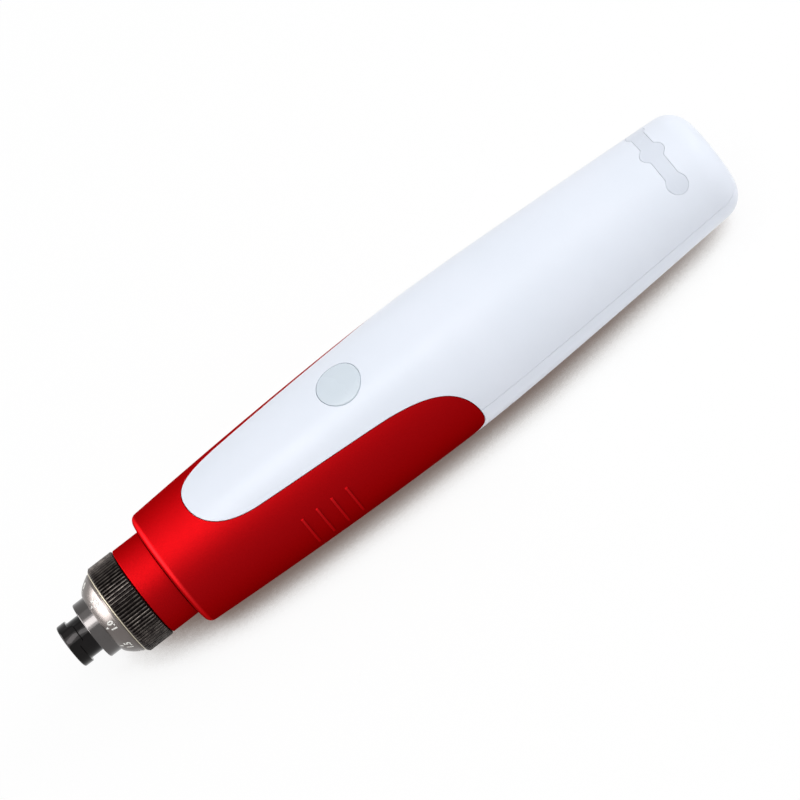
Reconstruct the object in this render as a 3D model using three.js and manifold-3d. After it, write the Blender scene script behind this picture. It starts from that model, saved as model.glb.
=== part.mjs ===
// A cordless microneedling pen, built from the pieces it is assembled from.
// Millimetres, +Z up. The pen lies along X with its nose towards -X and its button on top.
// Inside the pen group, X is measured from the nose tip and Y and Z from the pen's long axis.
import * as THREE from 'three';
import { mergeVertices } from 'three/addons/utils/BufferGeometryUtils.js';
import Module from 'manifold-3d';

const wasm = await Module();
wasm.setup();

// Fits
const clearance = 0.3; // between pieces that fit together
const overrun = 1; // how far a cutter passes the face that it cuts
const seamGap = 0.2; // between the two halves of the housing

// Nose stack, each length measured along the pen
const headLength = 2.5;
const stemLength = 3.7;
const flangeLength = 3.3;
const domeLength = 4.2;
const ringLength = 7.6;
const neckLength = 7.8;

// Body, from the front of the grip to the tail
const bodyLength = 159.9;
const gripFrontRadius = 15.4;
const crestRadius = 18.3;
const tailRadius = 14.1;
const crestFromGrip = 78;
const crestSoftness = 12;
const frontFullnessShare = 1.7;
const rearFullnessShare = 1.2;
const tailHeightShare = 0.96; // height over width at the tail
const tailCorner = 6;
const bellyFlat = 1.4; // from the crest's radius back up to the flat land that the pen lies on
const wall = 2.8;
const frontWall = 2;

// Grip sleeve, clipped over the housing
const gripWall = 1.2;
const gripFillet = 1.75;
const tongueFromGrip = 12.9; // front of the white tongue between the grip's two lobes
const lobeFromGrip = 80.5; // rear tip of each lobe
const lobeAngle = THREE.MathUtils.degToRad(92); // from the top line round to a lobe's tip
// The edge of the tongue and lobe, unrolled, as shares of the way along and round to the lobe's tip
const edgeShares = [
  [0, 0], [0, 0.26], [0.075, 0.39], [0.2, 0.405],
  [0.37, 0.428], [0.55, 0.455], [0.72, 0.49],
  [0.93, 0.535], [1, 0.68], [1, 1],
];
const ribCount = 4;
const ribPitch = 4.15;
const firstRibFromGrip = 32.6;
const ribWidth = 0.7;
const ribHeight = 0.4;
const ribArc = 9.9;

// Needle cartridge socket: the bayonet barrel
const headRadius = 5.7;
const stemRadius = 5;
const boreRadius = 3.2;
const boreLength = 9;
const headChamfer = 0.4;
const lugLength = 1.3; // how far a lug reaches behind the head
const lugHalfAngle = THREE.MathUtils.degToRad(32);
const lugRampAngle = THREE.MathUtils.degToRad(12);
const lugTurn = THREE.MathUtils.degToRad(16);
const seatStep = 0.3; // height of the cartridge seat over the flange
const carrierRadius = 7.53;
const carrierWall = 1.5;
const carrierLength = 14.3; // from the cartridge seat to the carrier's rear
const barrelSealRadius = 0.35;
const barrelSealFromSeat = 6.6;

// Depth adjustment
const depthTravel = 2.5;
const restDepth = 0.5;
const dialSweep = THREE.MathUtils.degToRad(200);
const ringRadius = 12;
const ringChamfer = 0.7;
const knurlCount = 84;
const knurlDepth = 0.35;
const domeRearRadius = 11;
const domeLip = 0.4;
const domeBulge = 1.45; // how far the dome's side stands out from a plain cone
const grooveDepth = 1.2;
const pinRadius = 0.8;
const pinFromRing = 2.2;
const stubWall = 1.2;
const stubFromDome = 2.1;
const snapThickness = 0.8;
const snapDepth = 0.5;
const snapHeight = 0.9;
const snapOpening = 3;
const ringSealRadius = 0.4;
const detentRadius = 0.8;
const detentFromAxis = 10;
const detentSpringLength = 2.6;
const detentWireRadius = 0.15;

// Neck
const neckRadius = 11.8;
const neckChamfer = 0.3;
const spigotStep = 1;
const neckFlangeLength = 2;

// Needle drive
const needleStroke = 2.5;
const needleBarRadius = 1.5;
const hookRadius = 2.3;
const hookLength = 1.2;
const barFromSeat = 5.8; // front of the needle bar behind the cartridge seat
const bushLength = 5.7;
const bushAheadOfGrip = 4.8;
const springRoom = 9.8;
const springRadius = 3.4;
const springWireRadius = 0.35;
const springTurns = 5;
const followerRadius = 4.5;
const followerLength = 1.7;
const camRadius = 5;
const camLength = 5;
const camRise = 2.3;

// Motor
const camToMotor = 1.7;
const motorSheet = 0.7;
const motorFrontSheet = 1.2;
const damperWall = 1.2;
const damperLength = 7;
const damperFromFront = 5;
const mountLength = 2.2;
const motorScrewInset = 3.5; // from the can's own radius in to a screw
const shaftRadius = 1;
const bushWall = 1.7;
const shaftBushLength = 2;
const magnetWall = 1.9;
const magnetHalfAngle = THREE.MathUtils.degToRad(62);
const armatureFromFront = 5;
const armatureSlot = 2.4;
const poleCount = 3;
const commutatorRadius = 2.5;
const commutatorLength = 4;
const commutatorGap = 1.5;
const brushWidth = 2;
const brushLength = 2.4;
const brushRoom = 1.5; // from the commutator to the can's rear
const endBellLength = 2;
const terminalLength = 2.4;
const terminalWidth = 1.8;
const terminalThickness = 0.5;
const terminalFromAxis = 3;

// Case screws and the bosses that take them
const screwRadius = 1;
const screwHeadRadius = 1.9;
const screwHeadHeight = 1.2;
const bossWall = 1;
const frontScrewFromAxis = 7.6;
const rearScrewFromAxis = 8;
const rearScrewFromTail = 44.5;
const screwSeatDepth = 4.9; // from the belly land up to the face that the head pulls on
const screwReach = 6; // how far the thread stands above the pen's axis

// Battery cell and its tray; the cell itself fills the room between the board, the tray and the bosses
const capRadius = 3;
const capHeight = 0.8;
const tabThickness = 0.4;
const tabWidth = 6;
const trayWall = 1;

// Circuit boards
const boardThickness = 1.6;
const boardAboveCell = 0.8;
const tongueLength = 4; // how far the board reaches ahead of the button's middle
const switchSize = 6;
const switchHeight = 1.9;
const plungerRadius = 1.2;
const plungerHeight = 0.8;
const chipSize = 7;
const chipHeight = 1.2;
const chargeBoardLength = 25;
const chargeBoardWidth = 14;
const chargeBoardThickness = 1.2;
const chargeBoardFromWall = 2.7;
const boardPostRadius = 1.5;
const boardPostInset = 4;
const ledSize = 2;
const ledHeight = 0.8;

// Speed button
const buttonFromGrip = 58;
const buttonRadius = 5.85;
const buttonProud = 0.15;
const buttonTravel = 0.5;
const buttonFlange = 1.1;
const buttonFlangeDepth = 0.6;
const buttonStemRadius = 1.6;
const buttonStemLength = 0.5;

// Light window near the tail
const windowFromTail = 12.5;
const windowHalfWidth = 1.85;
const windowBulbRadius = 2.6;
const windowMiddleLength = 6.5;
const windowMiddleWidth = 5.1;
const windowHalfAngle = THREE.MathUtils.degToRad(38);

// Charging socket in the tail
const socketWidth = 9;
const socketLength = 10;
const socketCollarRadius = 4;
const socketBoreRadius = 2.9;
const socketBoreDepth = 9;
const socketPinRadius = 0.65;
const socketPinLength = 7.5;

// Insulated leads
const leadRadius = 0.6;

// How finely round shapes are divided
const bodySides = 32;
const bodyStations = 8;
const cornerSteps = 3;
const edgeSteps = 11; // along each quarter of the grip's edge
const largeSides = 24;
const smallSides = 10;
const sealSides = 6; // round a seal's own section

// Places along the pen that follow from the sizes above
const seatAt = headLength + stemLength;
const domeAt = seatAt + flangeLength;
const ringAt = domeAt + domeLength;
const neckAt = ringAt + ringLength;
const gripAt = neckAt + neckLength;
const penLength = gripAt + bodyLength;
const crestAt = gripAt + crestFromGrip;
const bellyDepth = crestRadius - bellyFlat;
const shellAt = gripAt + gripWall + clearance;
const neckBore = carrierRadius + clearance;
const stubRadius = neckBore + stubWall;
const ringRear = neckAt - clearance;
const pinAt = ringAt + pinFromRing;
const pinPlay = pinRadius + clearance;
const bushAt = gripAt - bushAheadOfGrip;
const followerAt = bushAt + bushLength + springRoom;
const camAt = followerAt + followerLength + needleStroke + clearance;
const motorAt = camAt + camLength + camToMotor;
const buttonAt = gripAt + buttonFromGrip;
const flangeOut = buttonRadius + clearance + buttonFlange;
const endBellRear = buttonAt - flangeOut - 2 * clearance;
const motorRear = endBellRear - endBellLength - clearance;
const bossRadius = screwHeadRadius + clearance + bossWall;
const frontScrewAt = endBellRear + 2 * clearance + bossRadius;
const trayAt = frontScrewAt + bossRadius + 2 * clearance;
const cellAt = trayAt + trayWall + tabThickness + 2 * clearance;
const rearScrewAt = penLength - rearScrewFromTail;
const trayRear = rearScrewAt - bossRadius - 2 * clearance;
const cellRear = trayRear - trayWall - tabThickness - 2 * clearance - capHeight;
const windowAt = penLength - windowFromTail;
const screwSeat = -bellyDepth + screwSeatDepth;
const socketFront = penLength - wall - clearance - socketLength;
const chargeBoardBottom = socketWidth / 2 + clearance;
const chargeBoardTop = chargeBoardBottom + chargeBoardThickness;
const chargeBoardRear = penLength - wall - chargeBoardFromWall;
const chargeBoardAt = chargeBoardRear - chargeBoardLength;

// Heights that follow down from the button: its flange, the switch, the board and the cell under it
const flangeTop = Math.sqrt((cavityRadius(buttonAt) - clearance) ** 2 - flangeOut ** 2);
const flangeBottom = flangeTop - buttonFlangeDepth;
const stemBottom = flangeBottom - buttonStemLength;
const plungerTop = stemBottom - buttonTravel - clearance / 3;
const boardTop = plungerTop - plungerHeight - switchHeight - clearance / 3;
const boardBottom = boardTop - boardThickness;
const cellFloor = cavityRadius(trayRear) - 2 * clearance - trayWall;
const cellRadius = (boardBottom - boardAboveCell + cellFloor) / 2;
const cellMiddle = cellRadius - cellFloor;

// Solids: every maker below returns a solid that can be joined and cut

function solid(geometry) {
  const bare = geometry.clone();
  bare.deleteAttribute('normal');
  bare.deleteAttribute('uv');
  const merged = mergeVertices(bare);
  const corners = merged.index.array;
  const kept = [];
  for (let k = 0; k < corners.length; k += 3) {
    const [a, b, c] = corners.slice(k, k + 3);
    if (a !== b && b !== c && c !== a) kept.push([a, b, c]);
  }
  const vertProperties = Float32Array.from(merged.attributes.position.array);
  const build = (triangles) => new wasm.Manifold(
    new wasm.Mesh({ numProp: 3, vertProperties, triVerts: Uint32Array.from(triangles.flat()) }),
  );
  const made = build(kept);
  return made.volume() > 0 ? made : build(kept.map(([a, b, c]) => [a, c, b]));
}

function geometryOf(shape) {
  const { vertProperties, triVerts } = shape.getMesh();
  const geometry = new THREE.BufferGeometry();
  geometry.setAttribute('position', new THREE.BufferAttribute(vertProperties, 3));
  geometry.setIndex(new THREE.BufferAttribute(triVerts, 1));
  geometry.computeVertexNormals();
  return geometry;
}

// A body through rings of equal count: closed into a loop, or with a fan over each end
function loft(rings, looped = false) {
  const count = rings[0].length;
  const points = rings.flat();
  const triangles = [];
  const spans = looped ? rings.length : rings.length - 1;
  for (let k = 0; k < spans; k += 1) {
    const next = (k + 1) % rings.length;
    for (let j = 0; j < count; j += 1) {
      const [a, b] = [k * count + j, k * count + ((j + 1) % count)];
      const [d, c] = [next * count + j, next * count + ((j + 1) % count)];
      triangles.push(a, b, c, a, c, d);
    }
  }
  const ends = looped ? [] : [[0, false], [points.length - count, true]];
  for (const [start, last] of ends) {
    const ring = points.slice(start, start + count);
    const middle = ring.reduce((sum, p) => sum.add(p), new THREE.Vector3()).divideScalar(count);
    const hub = points.push(middle) - 1;
    for (let j = 0; j < count; j += 1) {
      const [a, b] = [start + j, start + ((j + 1) % count)];
      triangles.push(...(last ? [a, b, hub] : [b, a, hub]));
    }
  }
  const geometry = new THREE.BufferGeometry().setFromPoints(points);
  geometry.setIndex(triangles);
  return solid(geometry);
}

// Turned about the pen's axis from [x, radius] points; a profile off the axis closes on itself
function turned(profile, sides = largeSides) {
  const points = profile.map(([x, radius]) => new THREE.Vector2(radius, x));
  if (points[0].x > 0) points.push(points[0].clone());
  return solid(new THREE.LatheGeometry(points, sides).rotateZ(-Math.PI / 2));
}

function rod(radius, from, to, sides = smallSides) {
  return turned([[from, 0], [from, radius], [to, radius], [to, 0]], sides);
}

function tube(inner, outer, from, to, sides = largeSides) {
  return turned([[from, inner], [from, outer], [to, outer], [to, inner]], sides);
}

function seal(x, radius, wireRadius) {
  const profile = [];
  for (let k = 0; k < sealSides; k += 1) {
    const turn = (k * 2 * Math.PI) / sealSides;
    profile.push([x + wireRadius * Math.cos(turn), radius + wireRadius * Math.sin(turn)]);
  }
  return turned(profile);
}

function post(radius, bottom, top, x, y, sides = smallSides) {
  const cylinder = new THREE.CylinderGeometry(radius, radius, top - bottom, sides);
  return solid(cylinder.rotateX(Math.PI / 2).translate(x, y, (bottom + top) / 2));
}

function block([x0, x1], [y0, y1], [z0, z1]) {
  const box = new THREE.BoxGeometry(x1 - x0, y1 - y0, z1 - z0);
  return solid(box.translate((x0 + x1) / 2, (y0 + y1) / 2, (z0 + z1) / 2));
}

// Angles run round the pen from the top line towards -Y
function around(x, radius, angle) {
  return new THREE.Vector3(x, -radius * Math.sin(angle), radius * Math.cos(angle));
}

// A curved bar round the axis whose four [x, radius] corners are given for each angle
function arcBar(start, end, steps, corners) {
  const rings = [];
  for (let k = 0; k <= steps; k += 1) {
    const angle = start + ((end - start) * k) / steps;
    rings.push(corners(angle).map(([x, radius]) => around(x, radius, angle)));
  }
  return loft(rings);
}

function coil(from, to, radius, wireRadius, turns, x = 0, y = 0, z = 0) {
  const stepsPerTurn = 8;
  const wireSides = 4;
  const steps = turns * stepsPerTurn;
  const rings = [];
  for (let k = 0; k <= steps; k += 1) {
    const angle = (k * 2 * Math.PI) / stepsPerTurn;
    const along = from + wireRadius + ((to - from - 2 * wireRadius) * k) / steps;
    const ring = [];
    for (let j = 0; j < wireSides; j += 1) {
      const turn = (j * 2 * Math.PI) / wireSides;
      const out = radius + wireRadius * Math.cos(turn);
      ring.push(around(along + wireRadius * Math.sin(turn), out, angle).add(new THREE.Vector3(x, y, z)));
    }
    rings.push(ring);
  }
  return loft(rings);
}

function lead(points) {
  const path = new THREE.CatmullRomCurve3(points.map((p) => new THREE.Vector3(...p)));
  const section = new THREE.Shape().absarc(0, 0, leadRadius, 0, 2 * Math.PI);
  const settings = { extrudePath: path, steps: 10, curveSegments: 3, bevelEnabled: false };
  return solid(new THREE.ExtrudeGeometry(section, settings));
}

function bothSides(make) {
  return make(1).add(make(-1));
}

// The body's form

function bodyHalfWidth(x) {
  const away = x - crestAt;
  const ahead = away < 0;
  const span = ahead ? crestFromGrip : penLength - crestAt;
  const drop = crestRadius - (ahead ? gripFrontRadius : tailRadius);
  const fullness = ahead ? frontFullnessShare : rearFullnessShare;
  const far = Math.hypot(span, crestSoftness);
  const least = (crestSoftness / far) ** fullness;
  const fall = (Math.hypot(away, crestSoftness) / far) ** fullness;
  return crestRadius - (drop * (fall - least)) / (1 - least);
}

function bodyHalfHeight(x) {
  return bodyHalfWidth(x) * (1 - ((1 - tailHeightShare) * (x - gripAt)) / bodyLength);
}

function bodySection(x, inset, sides = bodySides) {
  const ring = [];
  for (let j = 0; j < sides; j += 1) {
    const angle = (j * 2 * Math.PI) / sides;
    const y = -(bodyHalfWidth(x) - inset) * Math.sin(angle);
    ring.push(new THREE.Vector3(x, y, (bodyHalfHeight(x) - inset) * Math.cos(angle)));
  }
  return ring;
}

// The body's form drawn in by an inset, from a flat or filleted front to its rounded tail
function bodyForm(inset, from, fillet = 0) {
  const tail = penLength - inset;
  const corner = tailCorner - inset;
  const rings = [];
  const quarter = (k) => (k * Math.PI) / 2 / cornerSteps;
  for (let k = 0; fillet > 0 && k < cornerSteps; k += 1) {
    const x = from + fillet * (1 - Math.cos(quarter(k)));
    rings.push(bodySection(x, inset + fillet * (1 - Math.sin(quarter(k)))));
  }
  for (let k = 0; k < bodyStations; k += 1) {
    const x = from + fillet + ((tail - corner - from - fillet) * k) / bodyStations;
    rings.push(bodySection(x, inset));
  }
  for (let k = 0; k <= cornerSteps; k += 1) {
    const x = tail - corner + corner * Math.sin(quarter(k));
    rings.push(bodySection(x, inset + corner * (1 - Math.cos(quarter(k)))));
  }
  return loft(rings);
}

// The length of the cavity, less a clearance, between two places along the pen
function cavitySlice(from, to) {
  const reach = crestRadius + overrun;
  const slab = block([from, to], [-reach, reach], [-reach, reach]);
  return bodyForm(wall + clearance, shellAt).intersect(slab);
}

function cavityRadius(x) {
  return bodyHalfHeight(x) - wall;
}

// The grip's edge, a quarter at a time, as [x, angle] pairs all the way round
function gripEdge() {
  const path = new THREE.CurvePath();
  const place = ([along, round]) => new THREE.Vector2(along, round);
  for (let k = 0; k + 3 < edgeShares.length; k += 3) {
    path.add(new THREE.CubicBezierCurve(...edgeShares.slice(k, k + 4).map(place)));
  }
  const quarter = path.getSpacedPoints(edgeSteps);
  const x = (share) => gripAt + tongueFromGrip + (lobeFromGrip - tongueFromGrip) * share;
  const top = quarter.map((p) => [x(p.x), lobeAngle * p.y]);
  const belly = quarter.map((p) => [x(p.x), Math.PI - (Math.PI - lobeAngle) * p.y]);
  const side = [...top, ...belly.reverse().slice(1)];
  const far = side.slice(1, -1).reverse().map(([along, angle]) => [along, 2 * Math.PI - angle]);
  return [...side, ...far];
}

// Everything ahead of the grip's edge, as a thick sleeve, with the edge moved out by a growth
function gripZone(growth) {
  const edge = gripEdge();
  const [innerShare, outerShare] = [0.5, 1.2];
  const rings = edge.map(([x, angle], j) => {
    const before = edge[(j + edge.length - 1) % edge.length];
    const after = edge[(j + 1) % edge.length];
    const turn = Math.sin(after[1] - before[1]);
    const [alongStep, roundStep] = [after[0] - before[0], bodyHalfWidth(x) * turn];
    const size = Math.hypot(alongStep, roundStep);
    const edgeX = x + (growth * roundStep) / size;
    const edgeAngle = angle - (growth * alongStep) / size / bodyHalfWidth(x);
    const corner = (at, share) => new THREE.Vector3(
      at,
      -bodyHalfWidth(at) * share * Math.sin(edgeAngle),
      bodyHalfHeight(at) * share * Math.cos(edgeAngle),
    );
    const front = gripAt - overrun;
    return [
      corner(front, innerShare), corner(front, outerShare),
      corner(edgeX, outerShare), corner(edgeX, innerShare),
    ];
  });
  return loft(rings, true);
}

// Finishes
const finish = (color, roughness, metalness) => (
  new THREE.MeshStandardMaterial({ color, roughness, metalness })
);
const finishes = {
  whiteGloss: () => finish('#eceffa', 0.12, 0),
  redSatin: () => finish('#c01018', 0.32, 0.55),
  gunmetal: () => finish('#36302d', 0.35, 0.9),
  darkChrome: () => finish('#3a3638', 0.15, 1),
  scaleMetal: () => finish('#8b8380', 0.25, 1),
  steel: () => finish('#a9acb0', 0.3, 1),
  brass: () => finish('#b58d4a', 0.35, 1),
  nickel: () => finish('#b9b7ae', 0.35, 1),
  rubber: () => finish('#1b1b1c', 0.85, 0),
  blackPlastic: () => finish('#202124', 0.5, 0),
  naturalPlastic: () => finish('#e3e0d6', 0.45, 0),
  paleClear: () => finish('#d8e6ea', 0.2, 0),
  boardGreen: () => finish('#1f5c38', 0.5, 0),
  copper: () => finish('#a9602f', 0.4, 1),
  magnet: () => finish('#4a4a4d', 0.6, 0.5),
  cellWrap: () => finish('#2f6fa8', 0.35, 0),
  leadRed: () => finish('#b3241f', 0.45, 0),
  ledYellow: () => finish('#efe6a8', 0.3, 0),
};

const pen = new THREE.Group();
pen.position.set(-penLength / 2, 0, bellyDepth);

function add(name, shape, material) {
  const mesh = new THREE.Mesh(geometryOf(shape), material);
  mesh.name = name;
  pen.add(mesh);
}

// A piece on each side of the pen, its left side towards -Y
function addPair(name, make, material) {
  add(`left_${name}`, make(-1), material());
  add(`right_${name}`, make(1), material());
}

// Red grip sleeve: a filleted front face, two lobes down the sides and ribs under the thumb
const gripFrontDisc = bodyForm(0, gripAt, gripFillet).intersect(
  block([gripAt - overrun, gripAt + gripWall], [-crestRadius, crestRadius], [-crestRadius, crestRadius]),
);
const spigotRadius = neckRadius - spigotStep;
const cavityAt = shellAt + frontWall;
const spigotHole = rod(spigotRadius + clearance, gripAt - overrun, cavityAt + overrun, largeSides);

function gripRib(middle, side) {
  const halfAngle = ribArc / 2 / bodyHalfWidth(middle);
  const [start, end] = [side * Math.PI / 2 - halfAngle, side * Math.PI / 2 + halfAngle];
  return arcBar(start, end, 6, () => {
    const surface = bodyHalfWidth(middle);
    const [inner, outer] = [surface - gripWall / 2, surface + ribHeight];
    const [foot, crown] = [ribWidth / 2, ribWidth / 4];
    return [
      [middle - foot, inner], [middle - crown, outer], [middle + crown, outer], [middle + foot, inner],
    ];
  });
}

let grip = bodyForm(0, gripAt, gripFillet)
  .subtract(bodyForm(gripWall, gripAt + gripWall))
  .intersect(gripZone(0))
  .add(gripFrontDisc)
  .subtract(spigotHole);
for (let k = 0; k < ribCount; k += 1) {
  const middle = gripAt + firstRibFromGrip + k * ribPitch;
  grip = grip.add(bothSides((side) => gripRib(middle, side)));
}
add('grip_sleeve', grip, finishes.redSatin());

// White housing: a hollow body, stepped down where the grip lies over it, split along the middle
const belowBelly = block(
  [gripAt, penLength + overrun], [-crestRadius, crestRadius], [-2 * crestRadius, -bellyDepth],
);
const gripPocket = gripZone(clearance).subtract(bodyForm(gripWall + clearance, gripAt - overrun));
const tailHole = rod(socketCollarRadius + clearance, socketFront, penLength + overrun, largeSides);
const cavity = bodyForm(wall, cavityAt);
const housing = bodyForm(0, shellAt)
  .subtract(gripPocket)
  .subtract(cavity)
  .subtract(spigotHole)
  .subtract(tailHole)
  .subtract(belowBelly);

const pilotRadius = screwRadius + clearance;
const screwPlaces = [
  [frontScrewAt, frontScrewFromAxis], [frontScrewAt, -frontScrewFromAxis],
  [rearScrewAt, rearScrewFromAxis], [rearScrewAt, -rearScrewFromAxis],
];
const innerWall = bodyForm(wall / 2, shellAt);
const flangeRoom = post(
  flangeOut + clearance, flangeBottom - buttonTravel - clearance, crestRadius, buttonAt, 0, largeSides,
).intersect(cavity);

// The light window and its slot, seen from above
function windowShape(growth) {
  const endOut = bodyHalfWidth(windowAt) * Math.sin(windowHalfAngle);
  const squash = Math.cos(windowHalfAngle);
  const column = (halfLength, halfWidth, y) => {
    const cylinder = new THREE.CylinderGeometry(1, 1, tailRadius + overrun, smallSides);
    cylinder.rotateX(Math.PI / 2).scale(halfLength + growth, halfWidth + growth, 1);
    return solid(cylinder.translate(windowAt, y, (tailRadius + overrun) / 2));
  };
  const [halfWidth, top] = [windowHalfWidth + growth, tailRadius + overrun];
  return block([windowAt - halfWidth, windowAt + halfWidth], [-endOut, endOut], [0, top])
    .add(column(windowMiddleLength / 2, windowMiddleWidth / 2, 0))
    .add(bothSides((side) => column(windowBulbRadius, windowBulbRadius * squash, side * endOut)));
}

const halfSpace = (bottom, top) => block(
  [gripAt - overrun, penLength + overrun], [-2 * crestRadius, 2 * crestRadius], [bottom, top],
);
let topShell = housing.subtract(halfSpace(-2 * crestRadius, seamGap / 2));
let bottomShell = housing.subtract(halfSpace(-seamGap / 2, 2 * crestRadius));
for (const [x, y] of screwPlaces) {
  topShell = topShell
    .add(post(bossRadius, seamGap / 2, crestRadius, x, y).intersect(innerWall))
    .subtract(post(pilotRadius, -overrun, screwReach + clearance, x, y));
  bottomShell = bottomShell
    .add(post(bossRadius, -crestRadius, -seamGap / 2, x, y).intersect(innerWall))
    .subtract(post(pilotRadius, -crestRadius, overrun, x, y))
    .subtract(post(screwHeadRadius + clearance, -crestRadius - overrun, screwSeat, x, y));
}
const postOut = chargeBoardWidth / 2 - 2 * clearance - boardPostRadius;
const boardPosts = bothSides((side) => post(
  boardPostRadius, chargeBoardTop + clearance, crestRadius, chargeBoardAt + boardPostInset, side * postOut,
));
topShell = topShell
  .add(boardPosts.intersect(innerWall))
  .subtract(flangeRoom)
  .subtract(post(buttonRadius + clearance, boardTop, crestRadius + overrun, buttonAt, 0, largeSides))
  .subtract(windowShape(clearance));
add('top_shell', topShell, finishes.whiteGloss());
add('bottom_shell', bottomShell, finishes.whiteGloss());

// Case screws, driven up from the belly
function caseScrew(x, y) {
  const headTop = screwSeat - clearance;
  return post(screwHeadRadius, headTop - screwHeadHeight, headTop, x, y)
    .add(post(screwRadius, headTop - screwHeadHeight / 2, screwReach, x, y));
}
addPair('front_case_screw', (side) => caseScrew(frontScrewAt, side * frontScrewFromAxis), finishes.steel);
addPair('rear_case_screw', (side) => caseScrew(rearScrewAt, side * rearScrewFromAxis), finishes.steel);

// Red neck sleeve: the visible neck, a stub tube under the depth ring and a flange inside the housing
const stubAt = domeAt + stubFromDome;
const snapAt = ringAt - clearance - snapThickness;
const neckFlangeAt = shellAt + frontWall + clearance;
const neckRear = neckFlangeAt + neckFlangeLength;
const neckFlangeRadius = cavityRadius(neckFlangeAt) - clearance;
const snapSeat = stubRadius - snapDepth;
const slotFront = pinAt - restDepth - pinPlay;
const slotRear = pinAt + (depthTravel - restDepth) + pinPlay;
const pinSlot = block([slotFront, slotRear], [-pinPlay, pinPlay], [-stubRadius - overrun, 0]);
const detentDepth = 2 * detentRadius + detentSpringLength + 2 * clearance;
const detentPocket = rod(detentRadius + clearance, neckAt - overrun, neckAt + detentDepth)
  .translate([0, 0, -detentFromAxis]);
const neck = turned([
  [stubAt, neckBore], [stubAt, stubRadius],
  [snapAt - clearance, stubRadius], [snapAt - clearance, snapSeat],
  [ringAt, snapSeat], [ringAt, stubRadius],
  [neckAt, stubRadius], [neckAt, neckRadius - neckChamfer], [neckAt + neckChamfer, neckRadius],
  [gripAt - clearance, neckRadius], [gripAt - clearance, spigotRadius],
  [neckFlangeAt, spigotRadius], [neckFlangeAt, neckFlangeRadius],
  [neckRear, neckFlangeRadius], [neckRear, neckBore],
]).subtract(pinSlot).subtract(detentPocket);
add('neck_sleeve', neck, finishes.redSatin());

// Snap ring, seal and click detent that hold the depth ring on the stub tube
const snapInner = snapSeat + clearance;
const snapRear = snapAt + snapThickness;
const snapRing = tube(snapInner, snapInner + snapHeight, snapAt, snapRear).subtract(
  block([snapAt - overrun, snapRear + overrun], [-snapOpening / 2, snapOpening / 2], [0, ringRadius]),
);
add('retaining_ring', snapRing, finishes.steel());
const ringSealAt = ringRear - clearance - ringSealRadius;
const ringSealMiddle = stubRadius + clearance + ringSealRadius;
add('ring_seal', seal(ringSealAt, ringSealMiddle, ringSealRadius), finishes.rubber());
const ball = new THREE.SphereGeometry(detentRadius, smallSides, smallSides / 2);
const ballAt = neckAt + detentRadius;
add('detent_ball', solid(ball).translate([ballAt, 0, -detentFromAxis]), finishes.steel());
const detentSpring = coil(
  ballAt + detentRadius + clearance, ballAt + detentRadius + clearance + detentSpringLength,
  detentRadius - detentWireRadius, detentWireRadius, 4, 0, 0, -detentFromAxis,
);
add('detent_spring', detentSpring, finishes.steel());

// Knurled depth ring, with a helical groove inside that moves the barrel
const knurlPoints = 2 * knurlCount;
function knurledRing(x, radius) {
  const ring = [];
  for (let j = 0; j < knurlPoints; j += 1) {
    const depth = j % 2 ? knurlDepth : 0;
    ring.push(around(x, radius - depth, (j * 2 * Math.PI) / knurlPoints));
  }
  return ring;
}
const leadPerRadian = depthTravel / dialSweep;
const restSweep = restDepth / leadPerRadian;
const groovePlay = pinPlay / stubRadius;
const ringBore = stubRadius + clearance;
const helixStart = Math.PI - restSweep - groovePlay;
const helixEnd = Math.PI + (dialSweep - restSweep) + groovePlay;
const helix = arcBar(helixStart, helixEnd, 16, (angle) => {
  const middle = pinAt + leadPerRadian * (angle - Math.PI);
  const [inner, outer] = [stubRadius, ringBore + grooveDepth];
  return [
    [middle - pinPlay, inner], [middle - pinPlay, outer],
    [middle + pinPlay, outer], [middle + pinPlay, inner],
  ];
});
const sealRoomRadius = ringSealMiddle + ringSealRadius + clearance;
const sealRoomAt = ringSealAt - ringSealRadius - clearance;
const sealRoom = rod(sealRoomRadius, sealRoomAt, ringRear + overrun, largeSides);
const depthRing = loft([
  knurledRing(ringAt, ringRadius - ringChamfer),
  knurledRing(ringAt + ringChamfer, ringRadius),
  knurledRing(ringRear, ringRadius),
])
  .subtract(rod(ringBore, ringAt - overrun, ringRear + overrun, largeSides))
  .subtract(helix)
  .subtract(sealRoom);
add('depth_ring', depthRing, finishes.gunmetal());

// Scale dome, pressed on the depth ring's front and turning with it
const domeRear = ringAt - clearance;
const domeBore = carrierRadius + clearance;
const stubRoom = stubRadius + clearance;
const snapRoom = snapSeat + snapHeight + 2 * clearance;
const domeStart = new THREE.Vector2(domeAt, domeBore + clearance);
const domeEnd = new THREE.Vector2(domeRear - domeLip, domeRearRadius - domeLip / 4);
const domeBend = domeStart.clone().lerp(domeEnd, 1 / 4).add(new THREE.Vector2(0, domeBulge / 2));
const domeSide = new THREE.QuadraticBezierCurve(domeStart, domeBend, domeEnd).getPoints(5);
const scaleDome = turned([
  [domeAt, domeBore], ...domeSide.map((p) => [p.x, p.y]),
  [domeRear - domeLip, domeRearRadius], [domeRear, domeRearRadius],
  [domeRear, snapRoom], [snapAt - clearance, snapRoom],
  [snapAt - clearance, stubRoom], [stubAt - clearance, stubRoom], [stubAt - clearance, domeBore],
]);
add('scale_dome', scaleDome, finishes.scaleMetal());

// Bayonet barrel: the socket that a needle cartridge locks on, and the carrier behind it
const carrierRear = seatAt + carrierLength;
const carrierBore = carrierRadius - carrierWall;
const flangeBack = seatAt + seatStep;
const seatInner = headRadius + seatStep;
const barrelSealAt = seatAt + barrelSealFromSeat;
const grooveHalf = barrelSealRadius + clearance;
const sealGroove = [barrelSealAt - grooveHalf, barrelSealAt + grooveHalf];
const grooveFloor = carrierRadius - 2 * barrelSealRadius;

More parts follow.
